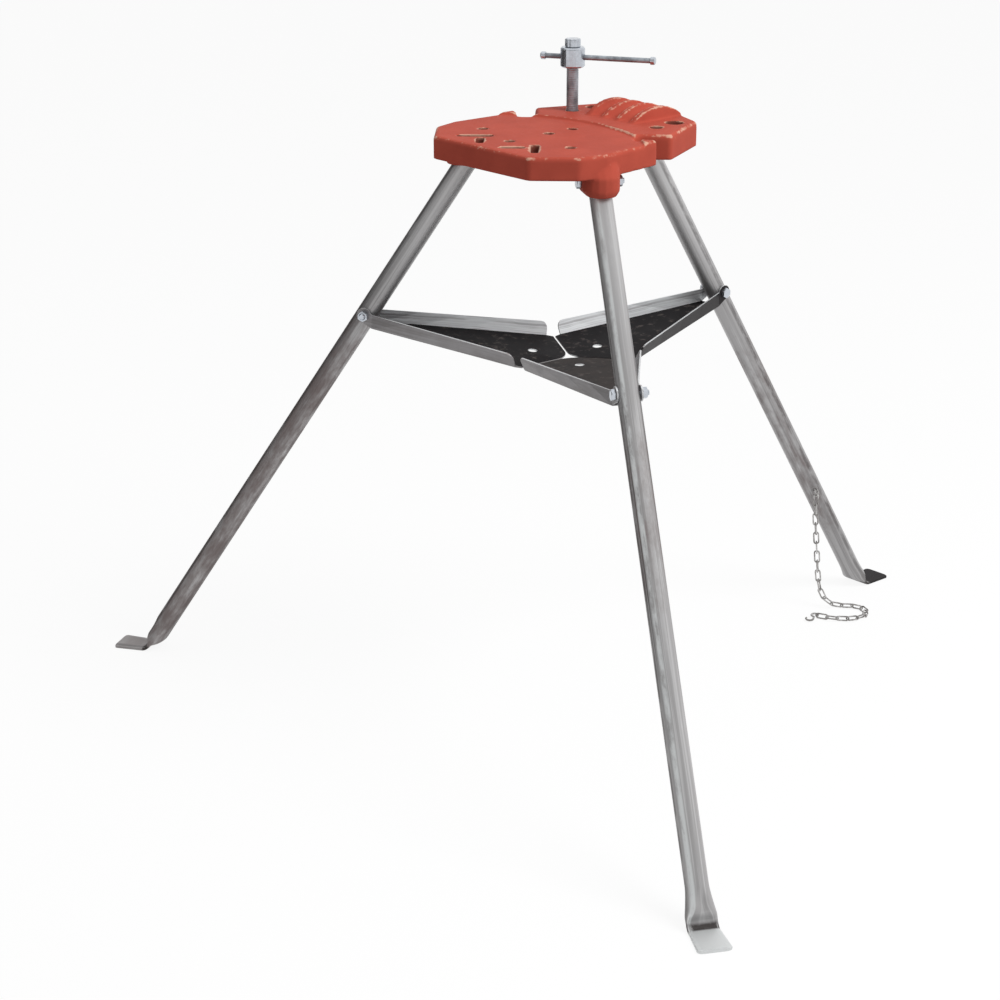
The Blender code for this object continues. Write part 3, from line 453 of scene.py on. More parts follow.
# The bare rims of the bores: wear on every wall, and a painted highlight on the walls facing the camera side.
worn_and_highlit_wall = np.clip(WORN_ALL + cast_normals @ RIM_HIGHLIGHT_SIDE, 0, 1)
store(cast_top.data, "rim", bored * worn_and_highlit_wall * np.clip(RIM_FADE - depth / HOLE_RIM, 0, 1))
facing_up = np.clip(EDGE_UP * cast_normals[:, 2], 0, 1)
cast_edge = np.minimum(edge_stand(cast_top.data, CAST_CELL), EDGE_MOST)
cast_edge *= np.where(depth < -HUMP_FOOT, EDGE_SHARE, 1.0)
riser_worn = np.exp(-((behind_riser / RISER_WORN) ** 2)) * (np.abs(depth) < HUMP_FOOT)
riser_worn *= np.clip(RISER_FADE * cast_x, 0, 1)
store(cast_top.data, "edge", np.maximum(cast_edge, EDGE_SHARE * EDGE_MOST * riser_worn) * facing_up)

red_paint, shader, start = new_finish("red_paint", specular=0.05)
place = start.node("ShaderNodeTexCoord", output="Object")
blotch = cloud(start, place, 18.0, 5.0, 0.6)
grit = cloud(start, place, 260.0, 3.0, 0.6)
pits = cloud(start, place, 700.0, 2.0)
edge, bore, rim = (attribute(start, name) for name in ("edge", "bored", "rim"))
patchy = cloud(start, place, 34.0, 4.0, 0.65)
dots = cloud(start, place, 210.0, 2.0)
rubbed = ramp(edge + 0.14 * (patchy - 0.5) + 0.10 * (dots - 0.5), 0.045, 0.085)
scuffed = ramp(cloud(start, place, 95.0, 6.0, 0.7) + 0.35 * edge, 0.66, 0.74)
paint = blend(ramp(blotch, 0.30, 0.72), RED_DEEP, RED)
paint = blend(0.22 * scuffed, paint, RUBBED)
paint = blend(0.80 * rubbed, paint, RUBBED)
# Painted shade: the walls of the bores are darkened.
paint = blend(0.85 * bore, paint, HOLE_PAINTED_SHADE)
# Bare rims of the bores, lighter where they face the camera side: wear and a painted highlight.
paint = blend(0.60 * rim * ramp(patchy, 0.40, 0.56), paint, RUBBED)
paint.feed(shader, "Base Color")
(0.58 + 0.18 * (grit - 0.5) - 0.10 * rubbed).feed(shader, "Roughness")
(0.15 * rubbed + 0.20 * rim).feed(shader, "Metallic")
relief(0.6 * grit + 0.4 * pits, 0.35, 0.0006).feed(shader, "Normal")
cast_top.data.materials.append(red_paint)
fitted(cast_top, "red_paint", "top_casting")

# Hinge bolts and nuts: hex bolts with cut threads and chamfered nuts, zinc plated, one pair through each
# leg socket and one through each leg and its tray leaf.
BOLT_RADIUS = 0.004
BOLT_PITCH = 0.00125
BOLT_THREAD = 0.00045
HEX_ACROSS = 0.013
HEX_FACE = 0.47
HEX_SLOPE = 30.0
HEAD_FLAT = 0.35
HEAD_SEAT = 0.48
HEAD_EDGE = 0.0006
HEAD_POLE = 0.0012
HEAD_HEIGHT = 0.0053
NUT_HEIGHT = 0.0065
NUT_EDGE = 0.0005
BOLT_END = 0.0025
BOLT_BREAK = 0.0003
BOLT_POLE = 0.0010
THREAD_BACK = 0.004
SEAT_GAP = 0.0003
SOCKET_GRIP = 0.0235
TRAY_GRIP = 0.0169
ZINC = (0.580, 0.615, 0.665, 1.0)
ZINC_DULL = (0.500, 0.525, 0.570, 1.0)
TURNED_SIDES = 64
ROUND_SIDES = 96
THREAD_CREST = 1.3
THREAD_STEPS = 8


def clad(name, points, faces, finish, slot, *nodes, sharp=38.0, straight=None):
    """A piece with this skin, shaded smooth but for edges over an angle. It stands for the nodes named."""
    mesh = bpy.data.meshes.new(name)
    mesh.from_pydata(points.tolist(), [], faces)
    mesh.shade_smooth()
    mesh.set_sharp_from_angle(angle=math.radians(sharp))
    if straight is not None:
        layer = mesh.attributes.new("straight", "FLOAT_VECTOR", "POINT")
        layer.data.foreach_set("vector", np.asarray(straight, np.float32).reshape(-1))
    mesh.materials.append(finish)
    piece = shown(name, mesh)
    fitted(piece, slot, *nodes)
    return piece


def grid_piece(name, rows, *fitting, loop=False, **shading):
    """A piece whose surface is the skin over a grid of points."""
    return clad(name, *skin(rows, loop), *fitting, **shading)


def turned(radii, heights, sides=TURNED_SIDES):
    """Rings of a turned solid: at each height a circle of that radius."""
    angles = round_angles(sides)
    radii, heights = np.broadcast_arrays(np.asarray(radii, float), np.asarray(heights, float))
    rows = radii[:, None, None] * np.stack([np.cos(angles), np.sin(angles), 0 * angles], 1)
    rows[:, :, 2] = heights[:, None]
    return rows


def hex_turned(radii, heights, across, sides=ROUND_SIDES):
    """A turned solid cut back to six flats: each point's radius is the smaller of the ring's and the
    hexagon's at that angle, which leaves the curved edge of a chamfered nut."""
    angles = round_angles(sides)
    flats = across / 2 / np.cos((angles + math.pi / 6) % (math.pi / 3) - math.pi / 6)
    rows = turned(np.ones(len(radii)), heights, sides)
    rows[:, :, :2] *= np.minimum(np.asarray(radii)[:, None], flats)[:, :, None]
    return rows


def threaded(radius, depth, pitch, low, high, sides=ROUND_SIDES):
    """A cut thread: the radius falls by depth and rises again once in each pitch of height, and the wave
    climbs one pitch in a full turn. The ends run out to the bottom of the thread."""
    heights = np.linspace(low, high, max(3, int(round(abs(high - low) / pitch * THREAD_STEPS))))
    rows = turned(np.ones(len(heights)), heights, sides)
    turn = np.arange(sides) / sides
    wave = np.abs(((heights[:, None] / pitch - turn) % 1) * 2 - 1)
    run_out = np.clip(np.minimum(heights - min(low, high), max(low, high) - heights) / pitch, 0, 1)
    crest = np.clip(THREAD_CREST * wave, 0, 1) * run_out[:, None]
    rows[:, :, :2] *= (radius - depth * (1 - crest))[:, :, None]
    return rows


def laid_along(rows, centre, first, second, along):
    """Rings placed in the stand: their own three directions become the three given ones."""
    return rows @ np.array((first, second, along)) + centre


def hinge_directions(side):
    """The directions at a leg's hinge: outwards, up, and across, which the bolt lies along."""
    out = pivots[side] - stand_axis
    out = out * (1, 1, 0) / np.hypot(out[0], out[1])
    return out, np.array((0.0, 0.0, 1.0)), np.array((-out[1], out[0], 0.0))


def hex_chamfer(steps):
    """Radii from the chamfer of a hexagon's face out to its corners, and how far each lies below the face:
    the way out times the tangent of the chamfer's slope."""
    radii = np.linspace(HEX_FACE * HEX_ACROSS, HEX_ACROSS / math.sqrt(3), steps)
    return radii, np.tan(math.radians(HEX_SLOPE)) * (radii - radii[0])


def bolt_rows(grip):
    """From the head's round top over its chamfer and flats to the thread and the bolt's end."""
    seat = grip + SEAT_GAP
    top, end = -seat - HEAD_HEIGHT, seat + NUT_HEIGHT + BOLT_END
    cut = seat - THREAD_BACK
    chamfer, fall = hex_chamfer(9)
    corner = chamfer[-1]
    head_radii = [HEAD_POLE, HEAD_FLAT * HEX_ACROSS, *chamfer, corner, corner, HEAD_SEAT * HEX_ACROSS]
    head_heights = [top, top, *(top + fall), -seat - HEAD_EDGE, -seat - HEAD_EDGE / 3, -seat]
    head = hex_turned(head_radii, head_heights, HEX_ACROSS)
    shank = turned([BOLT_RADIUS, BOLT_RADIUS], [-seat, cut], ROUND_SIDES)
    thread = threaded(BOLT_RADIUS, BOLT_THREAD, BOLT_PITCH, cut, end - HEAD_EDGE)
    tip = turned([BOLT_RADIUS - BOLT_THREAD - BOLT_BREAK, BOLT_POLE], [end, end], ROUND_SIDES)
    return np.concatenate([head, shank, thread, tip])


def nut_rows(grip):
    """Round a nut's outside, chamfered at both faces, and back through its bore."""
    seat = grip + SEAT_GAP
    top = seat + NUT_HEIGHT
    chamfer, fall = hex_chamfer(7)
    bore = BOLT_RADIUS + SEAT_GAP
    radii = [bore + NUT_EDGE, *chamfer, *chamfer[::-1], bore + NUT_EDGE, bore, bore]
    heights = [seat, *(seat + fall), *(top - fall[::-1]), top, top - NUT_EDGE, seat + NUT_EDGE]
    return hex_turned(radii, heights, HEX_ACROSS)


zinc_plate, shader, start = new_finish("zinc_plate", metallic=0.9)
place = start.node("ShaderNodeTexCoord", output="Object")
bloom = cloud(start, place, 120.0, 4.0, 0.6)
haze = cloud(start, place, 30.0, 3.0)
speck = cloud(start, place, 900.0, 2.0)
blend(ramp(0.6 * bloom + 0.4 * haze, 0.36, 0.62), ZINC_DULL, ZINC).feed(shader, "Base Color")
(0.14 + 0.14 * (1.0 - bloom)).feed(shader, "Roughness")
relief(0.4 * bloom + 0.6 * speck, 0.04, 0.0003).feed(shader, "Normal")

hinges = (("leg_pivot", SOCKET_GRIP, pivots), ("tray", TRAY_GRIP, tray_pins))
for side in SIDES:
    for group, grip, centres in hinges:
        for kind, rows, loop in (("bolt", bolt_rows(grip), False), ("nut", nut_rows(grip), True)):
            rows = laid_along(rows, centres[side], *hinge_directions(side))
            names = f"{group}_hex_{kind}_{side}", f"{group}_{kind}_{side}"
            grid_piece(names[0], rows, zinc_plate, "zinc_plate", names[1], loop=loop)

# Legs: three lengths of drawn steel tube, each pressed flat at the heel and bent into a level foot. The
# steel is bare, with long drawing streaks and a darker brown band, most of all on the left leg. Along each
# leg run bands of painted highlight and painted shade, the bend at the heel has painted shade, the right
# foot has a painted highlight and the rear foot painted shade, and the steel is painted lighter near the top.
TUBE_RADIUS = 0.0143
TUBE_WALL = 0.002
TUBE_TOP = 0.017
MOUTH_TRIM = 0.3
PAD_WIDTH = 0.043
PAD_THICKNESS = 0.0045
PAD_LENGTH = 0.049
PAD_CORNER = 0.004
PAD_FLAT = 0.04
HEEL_BEND = 0.013
FLATTEN_LENGTH = 0.045
PRESS_DENT = 0.30
DENT_HALF = 0.42
HEEL_SPREAD = 0.70
SPREAD_POWER = 0.9
PINCH_POWER = 7.0
TUBE_SIDES = 72
TOE_ROWS, FOOT_ROWS, BEND_ROWS, PRESS_ROWS, TUBE_ROWS = 7, 9, 13, 29, 46
STEEL = (0.450, 0.442, 0.444, 1.0)
STEEL_BRIGHT = (0.700, 0.697, 0.700, 1.0)
STEEL_DARK = (0.190, 0.180, 0.182, 1.0)
DARK_BROWN = (0.222, 0.174, 0.168, 1.0)
FOOT_PAINTED_SHADE = (0.022, 0.020, 0.021, 1.0)
PAINTED_HIGHLIGHT = (0.780, 0.800, 0.800, 1.0)
PAINTED_SHADE_DARK = (0.060, 0.052, 0.050, 1.0)
CREASE_START = (0.042, 0.046)
CREASE_END = (0.052, 0.058)
FOOT_END = (0.040, 0.050)
TOP_PAINTED_LIGHT_SPAN = (0.68, 0.90)
LEG_STREAKS = {"left": 0.6, "right": 1.0, "rear": 0.5}
BROWN_BANDS = {"left": (0.49, 0.30, 0.40), "right": (0.36, 0.54, 0.12), "rear": (0.33, 0.40, 0.24)}
# Each foot's share of a colour of its own and how far it is made matt: painted light, with a painted highlight on
# the right foot and painted shade on the rear one.
FOOT_PAINTED_LIGHT = {
    "left": (0.45, STEEL, 0.0),
    "right": (0.90, PAINTED_HIGHLIGHT, 0.0),
    "rear": (0.96, FOOT_PAINTED_SHADE, 0.7),
}
# Bands round each leg: angle, half width, colour and share. They are painted highlights and painted shade.
LEG_PAINTED_LIGHT_BANDS = {
    "left": ((60.0, 18.0, PAINTED_SHADE_DARK, 0.72), (-64.0, 12.0, PAINTED_SHADE_DARK, 0.18)),
    "right": ((130.0, 13.0, PAINTED_HIGHLIGHT, 1.0), (72.0, 30.0, STEEL, 0.40), (176.0, 12.0, PAINTED_SHADE_DARK, 0.60)),
    "rear": ((172.0, 13.0, PAINTED_SHADE_DARK, 0.55),),
}


def leg_lean(side):
    """Sine and cosine of a leg's lean from upright, along the line from its socket bolt to its tray bolt."""
    ahead = tray_pins[side] - pivots[side]
    return np.array((ahead @ hinge_directions(side)[0], -ahead[2])) / np.linalg.norm(ahead)


def leg_rows(side):
    """A ring carried from the toe along the foot, round the heel bend, up the leg and back inside the tube.
    The ring is a circle on the tube and a flat round-ended bar on the foot, and its shape passes smoothly
    from one to the other: it spreads sideways first and is pinched thin close to the heel, with a dent on
    the outer side where the press has folded the tube in. The foot widens from the heel to the toe."""
    leg_sin, leg_cos = leg_lean(side)
    height = pivots[side][2] - cad_box[0][2]
    floor_line = PAD_THICKNESS / 2 - height
    heel_distance = (height - PAD_THICKNESS / 2) / leg_cos
    upright_lean = math.acos(leg_sin)
    tangent = HEEL_BEND * math.tan(upright_lean / 2)
    heel = heel_distance * leg_sin
    corner = np.linspace(0, 1, TOE_ROWS)
    foot = np.linspace(heel + PAD_LENGTH - PAD_CORNER, heel + tangent, FOOT_ROWS)[1:-1]
    bend = np.linspace(0, upright_lean, BEND_ROWS)
    press = np.linspace(0, 1, PRESS_ROWS)[1:]
    pressed = heel_distance - tangent - FLATTEN_LENGTH
    tube = np.linspace(pressed, -TUBE_TOP, TUBE_ROWS)[1:]
    bore = np.array((-TUBE_TOP, -TUBE_TOP, pressed - 2 * TUBE_RADIUS))
    line = np.concatenate([pressed + FLATTEN_LENGTH * (1 - press), tube, bore])
    flat_rows = len(corner) + len(foot)
    toe = heel + PAD_LENGTH - PAD_CORNER * corner
    x = np.concatenate([toe, foot, heel + tangent - HEEL_BEND * np.sin(bend), line * leg_sin])
    heel_rise = floor_line + HEEL_BEND * (1 - np.cos(bend))
    z = np.concatenate([np.full(flat_rows, floor_line), heel_rise, -line * leg_cos])
    lean = np.concatenate([np.zeros(flat_rows), bend, np.full(len(line), upright_lean)])
    eased = 1 - press * press * (3 - 2 * press)
    foot_rows, tube_rows = np.ones(flat_rows + len(bend)), np.zeros(len(tube) + len(bore))
    widening = np.interp(x[: len(foot_rows)], (heel + tangent, heel + PAD_LENGTH), (HEEL_SPREAD, 1))
    spread = np.concatenate([widening, HEEL_SPREAD * eased**SPREAD_POWER, tube_rows])
    flatness = np.concatenate([foot_rows, eased**PINCH_POWER, tube_rows])
    trim = np.zeros(len(x))
    trim[: len(corner)] = PAD_CORNER * (1 - np.sqrt(1 - (1 - corner) ** 2))
    narrow = np.ones(len(x))
    bore_share = 1 - TUBE_WALL / TUBE_RADIUS
    narrow[-3:] = (1 - MOUTH_TRIM * TUBE_WALL / TUBE_RADIUS, bore_share, bore_share)
    dent = np.zeros(len(x))
    dent[len(foot_rows) : len(foot_rows) + len(press)] = PRESS_DENT * np.sin(math.pi * press) ** 2
    angles = round_angles(TUBE_SIDES)
    power = (1 / (1 + 2 * flatness))[:, None]
    half_width = ((1 - spread) * TUBE_RADIUS + spread * PAD_WIDTH / 2 - trim)[:, None]
    half_height = ((1 - flatness) * TUBE_RADIUS + flatness * PAD_THICKNESS / 2)[:, None]
    beside = np.sign(np.cos(angles)) * np.abs(np.cos(angles)) ** power
    swell = np.minimum(1, (1 + PAD_FLAT * flatness[:, None]) * np.abs(np.sin(angles)) ** power)
    thick = half_height * np.sign(np.sin(angles)) * swell
    fold = dent[:, None] * np.exp(-((beside / DENT_HALF) ** 2)) * (np.sin(angles) > 0)
    thick = narrow[:, None] * (thick - fold * half_height)
    sideways = narrow[:, None] * half_width * beside
    sine, cosine = np.sin(lean)[:, None], np.cos(lean)[:, None]
    local = np.stack([x[:, None] + thick * sine, z[:, None] + thick * cosine, sideways], -1)
    along = np.concatenate([[0.0], np.cumsum(np.hypot(np.diff(x), np.diff(z)))])
    round_tube = TUBE_RADIUS * np.stack([np.cos(angles), np.sin(angles)], 1)
    straight = np.zeros(local.shape)
    straight[:, :, :2] = round_tube
    straight[:, :, 2] = along[:, None]
    return laid_along(local, pivots[side], *hinge_directions(side)), straight


def drawn_steel(side):
    """Bare drawn tube: light and dark streaks that run along the tube, a few longer bands of painted highlight and
    painted shade each at its own angle round it, a darker brown band along part of its length, painted shade
    where the heel is bent, and a foot with a colour of its own as painted light: lighter on the right leg as a
    painted highlight and near black on the rear one as painted shade, which also makes it matt there. The steel
    is painted lighter near the top, as painted light."""
    material, shader, start = new_finish(f"drawn_steel_{side}", specular=0.15)
    streaks, stain_and_painted_light = LEG_STREAKS[side], FOOT_PAINTED_LIGHT[side]
    band_depth, middle, reach = BROWN_BANDS[side]
    tube = attribute(start, "straight", "Vector")
    broad = cloud(start, stretched(start, tube, (90.0, 90.0, 1.4)), 1.0, 3.0, 0.55)
    fine = cloud(start, stretched(start, tube, (420.0, 420.0, 5.0)), 1.0, 3.0, 0.6)
    scale = cloud(start, stretched(start, tube, (70.0, 70.0, 22.0)), 1.0, 5.0, 0.7)
    speck = cloud(start, stretched(start, tube, (500.0, 500.0, 260.0)), 1.0, 2.0)
    beside, outside, along = (start.node("ShaderNodeSeparateXYZ", {0: tube}, axis) for axis in "XYZ")
    crease_shade = ramp(along, *CREASE_START) * (1.0 - ramp(along, *CREASE_END))
    foot = 1.0 - ramp(along, *FOOT_END)
    streak = 0.65 * broad + 0.35 * fine
    steel = blend(streaks * (1.0 - ramp(streak, 0.38, 0.49)), STEEL, STEEL_DARK)
    steel = blend(0.85 * streaks * ramp(streak, 0.52, 0.61), steel, STEEL_BRIGHT)
    # Painted light: the steel is made lighter towards the top of the leg.
    steel = blend(0.45 * ramp(along, *TOP_PAINTED_LIGHT_SPAN), steel, STEEL_BRIGHT)
    # A darker brown band along part of the leg.
    apart = along - middle
    band = 1.0 - ramp(apart * apart, (0.6 * reach) ** 2, (1.3 * reach) ** 2)
    brown = ramp(scale + band_depth * band, 0.70, 1.14)
    steel = blend(0.80 * brown, steel, DARK_BROWN)
    # Bands of painted highlight and painted shade, each at its own angle round the tube.
    for angle, half, shade, share in LEG_PAINTED_LIGHT_BANDS[side]:
        turn = math.radians(angle)
        facing = (math.cos(turn) * beside + math.sin(turn) * outside) * (1 / TUBE_RADIUS)
        light_band = ramp(facing, math.cos(math.radians(1.4 * half)), math.cos(math.radians(0.5 * half)))
        steel = blend(share * light_band * ramp(0.6 * scale + 0.4 * broad, 0.38, 0.54), steel, shade)
    # Painted light on the foot: a painted highlight on the right leg and painted shade on the rear one.
    steel = blend(stain_and_painted_light[0] * foot, steel, stain_and_painted_light[1])
    # Painted shade where the heel is bent.
    steel = blend(0.95 * crease_shade * ramp(scale, 0.32, 0.48), steel, PAINTED_SHADE_DARK)
    steel.feed(shader, "Base Color")
    (0.44 + 0.16 * (1.0 - streak) + 0.16 * brown + 0.4 * stain_and_painted_light[2] * foot).feed(shader, "Roughness")
    (0.72 - 0.30 * brown - stain_and_painted_light[2] * foot).feed(shader, "Metallic")
    relief(0.5 * fine + 0.3 * speck + 0.2 * scale, 0.16, 0.0005).feed(shader, "Normal")
    return material


for side in SIDES:
    rows, straight = leg_rows(side)
    finish = drawn_steel(side)
    grid_piece(f"{side}_tube_leg", rows, finish, "leg_steel", f"{side}_leg", straight=straight, sharp=50.0)

# Tray leaves: three leaves of steel sheet, folded up along both sides and hung on the legs' bolts by an ear
# each side of the tube. The floors are near black where they face up. The flanges are streaked, painted
# lighter on their inner faces as a painted reflection and darker on their outer faces as painted shade, with
# a painted highlight along their rims.
LEAF_EDGE = 0.0005
LEAF_EDGE_ANGLE = 30.0
LEAF_SLOPE = 4.5
FLOOR_BLACK = (0.011, 0.010, 0.011, 1.0)
FLOOR_BROWN = (0.038, 0.032, 0.030, 1.0)
FLANGE_PAINTED_HIGHLIGHT = (0.860, 0.885, 0.900, 1.0)
FLANGE_GREY = (0.420, 0.412, 0.424, 1.0)
FLANGE_DARK = (0.034, 0.031, 0.032, 1.0)
FLANGE_BROWN = (0.250, 0.236, 0.236, 1.0)
RIM_HEIGHTS = (0.006, 0.009)
STREAKS_A_METRE = 210.0
OUTER_BLUR = 0.003
FLOOR_SCUFF = (0.130, 0.112, 0.104, 1.0)
LEAF_BROWNING = {"left": 0.10, "right": 0.62, "rear": 0.10}
# How far the outer faces of each leaf's flanges are darkened with painted shade.
FLANGE_PAINTED_SHADE = {"left": 0.10, "right": 0.30, "rear": 1.30}


def softened(node, width):
    """Live modifiers on a node: its loose triangles joined and its sharp edges rounded."""
    node.modifiers.new("merge", "WELD").merge_threshold = MERGE_REACH
    edges = node.modifiers.new("edges", "BEVEL")
    edges.width = width
    edges.segments = 2
    edges.limit_method = "ANGLE"
    edges.angle_limit = math.radians(LEAF_EDGE_ANGLE)


def leaf_steel(side):
    """Sheet that is near black where it faces up and streaked with height on the flanges, painted lighter on
    their inner faces as a painted reflection and darker on their outer faces as painted shade, with a painted
    highlight on their cut rims: the height above the sloping floor is the distance along the floor's normal."""
    material, shader, start = new_finish(f"leaf_steel_{side}", specular=0.06)
    out, up, across = hinge_directions(side)
    slope = math.radians(LEAF_SLOPE)
    floor_normal = up * math.cos(slope) - out * math.sin(slope)
    place = start.node("ShaderNodeTexCoord", output="Object")
    facing = start.node("ShaderNodeTexCoord", output="Normal")
    leaf_points = point_rows(frame["nodes"][f"tray_leaf_{side}"].data, "co")
    height = towards(place, floor_normal) - float((leaf_points @ floor_normal).min())
    aside = towards(place, across) - float(tray_pins[side] @ across)
    drift = cloud(start, place, 7.0, 3.0)
    lines = start.node("ShaderNodeCombineXYZ", {0: height * STREAKS_A_METRE + drift * 3.0, 1: drift * 2.0})
    streak = cloud(start, lines, 1.0, 4.0, 0.6)
    stain_and_painted_light = cloud(start, place, 26.0, 5.0, 0.65)
    speck = cloud(start, place, 600.0, 2.0)
    raised = ramp(height, *RIM_HEIGHTS)
    level = ramp(towards(facing, floor_normal), 0.55, 0.85)
    floor = level * (1.0 - raised)
    outer = ramp(towards(facing, across) * aside, -OUTER_BLUR, OUTER_BLUR)
    # Inner faces of the flanges: streaks, painted lighter as a painted reflection.
    inner_reflection = blend(ramp(streak, 0.34, 0.56), FLANGE_GREY, FLANGE_PAINTED_HIGHLIGHT)
    inner_reflection = blend(0.80 * ramp(streak, 0.58, 0.68), inner_reflection, FLANGE_DARK)
    # Outer faces of the flanges: streaks, darkened with painted shade.
    outer_shaded = blend(0.6 * ramp(streak + 0.5 * (stain_and_painted_light - 0.5), 0.30, 0.70), FLANGE_BROWN, FLANGE_GREY)
    outer_shaded = blend(ramp(stain_and_painted_light + FLANGE_PAINTED_SHADE[side] - 0.5, 0.30, 0.80), outer_shaded, FLANGE_DARK)
    # The floor is near black where it faces up, with brown blotches and scuffs.
    floor_tone = blend(ramp(stain_and_painted_light + LEAF_BROWNING[side] - 0.5, 0.30, 0.75), FLOOR_BLACK, FLOOR_BROWN)
    floor_tone = blend(0.5 * ramp(cloud(start, place, 75.0, 6.0, 0.7), 0.54, 0.68), floor_tone, FLOOR_SCUFF)
    sheet = blend(floor, blend(outer, inner_reflection, outer_shaded), floor_tone)
    # Painted highlight along the flanges' cut rims, which face up.
    sheet = blend(0.75 * level * raised, sheet, FLANGE_PAINTED_HIGHLIGHT)
    sheet.feed(shader, "Base Color")
    (0.30 + 0.14 * stain_and_painted_light + 0.24 * floor).feed(shader, "Roughness")
    (0.45 - 0.40 * floor).feed(shader, "Metallic")
    relief(0.5 * streak + 0.5 * speck, 0.10, 0.0004).feed(shader, "Normal")
    return material


for side in SIDES:
    leaf = frame["nodes"][f"tray_leaf_{side}"]
    leaf.data.materials.clear()
    leaf.data.materials.append(leaf_steel(side))
    softened(leaf, LEAF_EDGE)

# Brace screw: a steel rod with a cut thread through the casting's left boss, which winds up against a
# ceiling. The plating has worn dark on the thread.
SCREW_RADIUS = 0.008
SCREW_PITCH = 0.003
SCREW_THREAD = 0.00025
SCREW_EDGE = 0.0006
SCREW_BREAK = 0.0008
SCREW_POLE = 0.002
ROD_DARK = (0.190, 0.208, 0.230, 1.0)
ROD_LIGHT = (0.440, 0.480, 0.520, 1.0)

screw_low, screw_high = (np.array(corner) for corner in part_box("brace_screw"))
screw_centre = (screw_low + screw_high) / 2 * (1, 1, 0)
rod_end = [SCREW_POLE, SCREW_RADIUS - SCREW_THREAD - SCREW_BREAK]
rod_rows = np.concatenate([
    turned(rod_end, [screw_low[2]] * 2, ROUND_SIDES),
    threaded(SCREW_RADIUS, SCREW_THREAD, SCREW_PITCH, screw_low[2] + SCREW_EDGE, screw_high[2] - SCREW_EDGE),
    turned(rod_end[::-1], [screw_high[2]] * 2, ROUND_SIDES),
])
rod_steel, shader, start = new_finish("rod_steel", metallic=0.45, specular=0.20)
place = start.node("ShaderNodeTexCoord", output="Object")
oiled = cloud(start, place, 60.0, 4.0, 0.6)
filed = cloud(start, stretched(start, place, (300.0, 300.0, 1500.0)), 1.0, 3.0)
blend(ramp(oiled, 0.35, 0.68), ROD_DARK, ROD_LIGHT).feed(shader, "Base Color")
(0.22 + 0.20 * oiled).feed(shader, "Roughness")
relief(filed, 0.06, 0.0003).feed(shader, "Normal")
grid_piece("brace_rod", rod_rows + screw_centre, rod_steel, "zinc_plate", "brace_screw", sharp=60.0)

# Hub: a turned steel barrel pressed on the rod's top end, cross drilled for the handle bar and bright zinc
# plated. The swivel cap sits loose on a spigot on its top.
HUB_CELL = 0.0005
HUB_RELAX = 4

hub_barrel = evened_copy("hub_barrel", frame["nodes"]["brace_hub"], HUB_CELL, HUB_RELAX)
hub_barrel.data.materials.append(zinc_plate)
fitted(hub_barrel, "zinc_plate", "brace_hub")

# Swivel cap: a small turned steel cap with a bore from below and flutes cut in its rim, zinc plated. It
# stays still against the ceiling while the screw turns in it.
CAP_RADIUS = 0.0105
CAP_CHAMFER = 0.0015
CAP_BORE = 0.0048
CAP_BORE_DEPTH = 0.006
CAP_EDGE = 0.0005
CAP_FLAT = 0.006
CAP_POLE = 0.0015
CAP_SIDES = 120
CAP_FLUTES = 10
CAP_FLUTE_DEPTH = 0.0009
CAP_FLUTE_GAP = 0.6

cap_low, cap_high = (np.array(corner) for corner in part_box("swivel_cap"))
cap_bottom, cap_top = cap_low[2], cap_high[2]
cap_turns = np.linspace(0, math.pi / 2, 7)
cap_round = CAP_RADIUS - CAP_CHAMFER + CAP_CHAMFER * np.cos(cap_turns)
cap_rise = cap_top - CAP_CHAMFER + CAP_CHAMFER * np.sin(cap_turns)
bore_top = cap_bottom + CAP_BORE_DEPTH
cap_radii = [CAP_POLE, CAP_BORE, CAP_BORE, CAP_RADIUS - CAP_EDGE, CAP_RADIUS, *cap_round, CAP_FLAT, CAP_POLE]
cap_heights = [bore_top, bore_top, cap_bottom, cap_bottom, cap_bottom + CAP_EDGE, *cap_rise, cap_top, cap_top]
cap_rows = turned(cap_radii, cap_heights, CAP_SIDES)
flute_wave = 0.5 + 0.5 * np.cos(CAP_FLUTES * round_angles(CAP_SIDES))
fluted = (cap_rows[:, :, 0] ** 2 + cap_rows[:, :, 1] ** 2)[:, :1] > (CAP_RADIUS - CAP_CHAMFER) ** 2
flutes = np.clip((1 + CAP_FLUTE_GAP) * flute_wave - CAP_FLUTE_GAP, 0, 1)
cap_rows[:, :, :2] *= (1 - fluted * CAP_FLUTE_DEPTH / CAP_RADIUS * flutes)[:, :, None]
cap_centre = (cap_low + cap_high) / 2 * (1, 1, 0)
grid_piece("fluted_cap", cap_rows + cap_centre, zinc_plate, "zinc_plate", "swivel_cap")

# Handle: a plain round steel bar that slides through the hub, with a turned, zinc plated knob pressed on
# each end, which stops it from falling out.
BAR_RADIUS = 0.0035
BAR_AZIMUTH = 30.0
BAR_LONG_END = 0.113
BAR_SHORT_END = 0.044
BAR_EDGE = 0.0004
BAR_POLE = 0.001
BAR_ROWS = 30
KNOB_RADIUS = 0.00525
KNOB_LENGTH = 0.007
KNOB_ROUND = 0.0022
KNOB_EDGE = 0.0006
KNOB_GAP = 0.0003

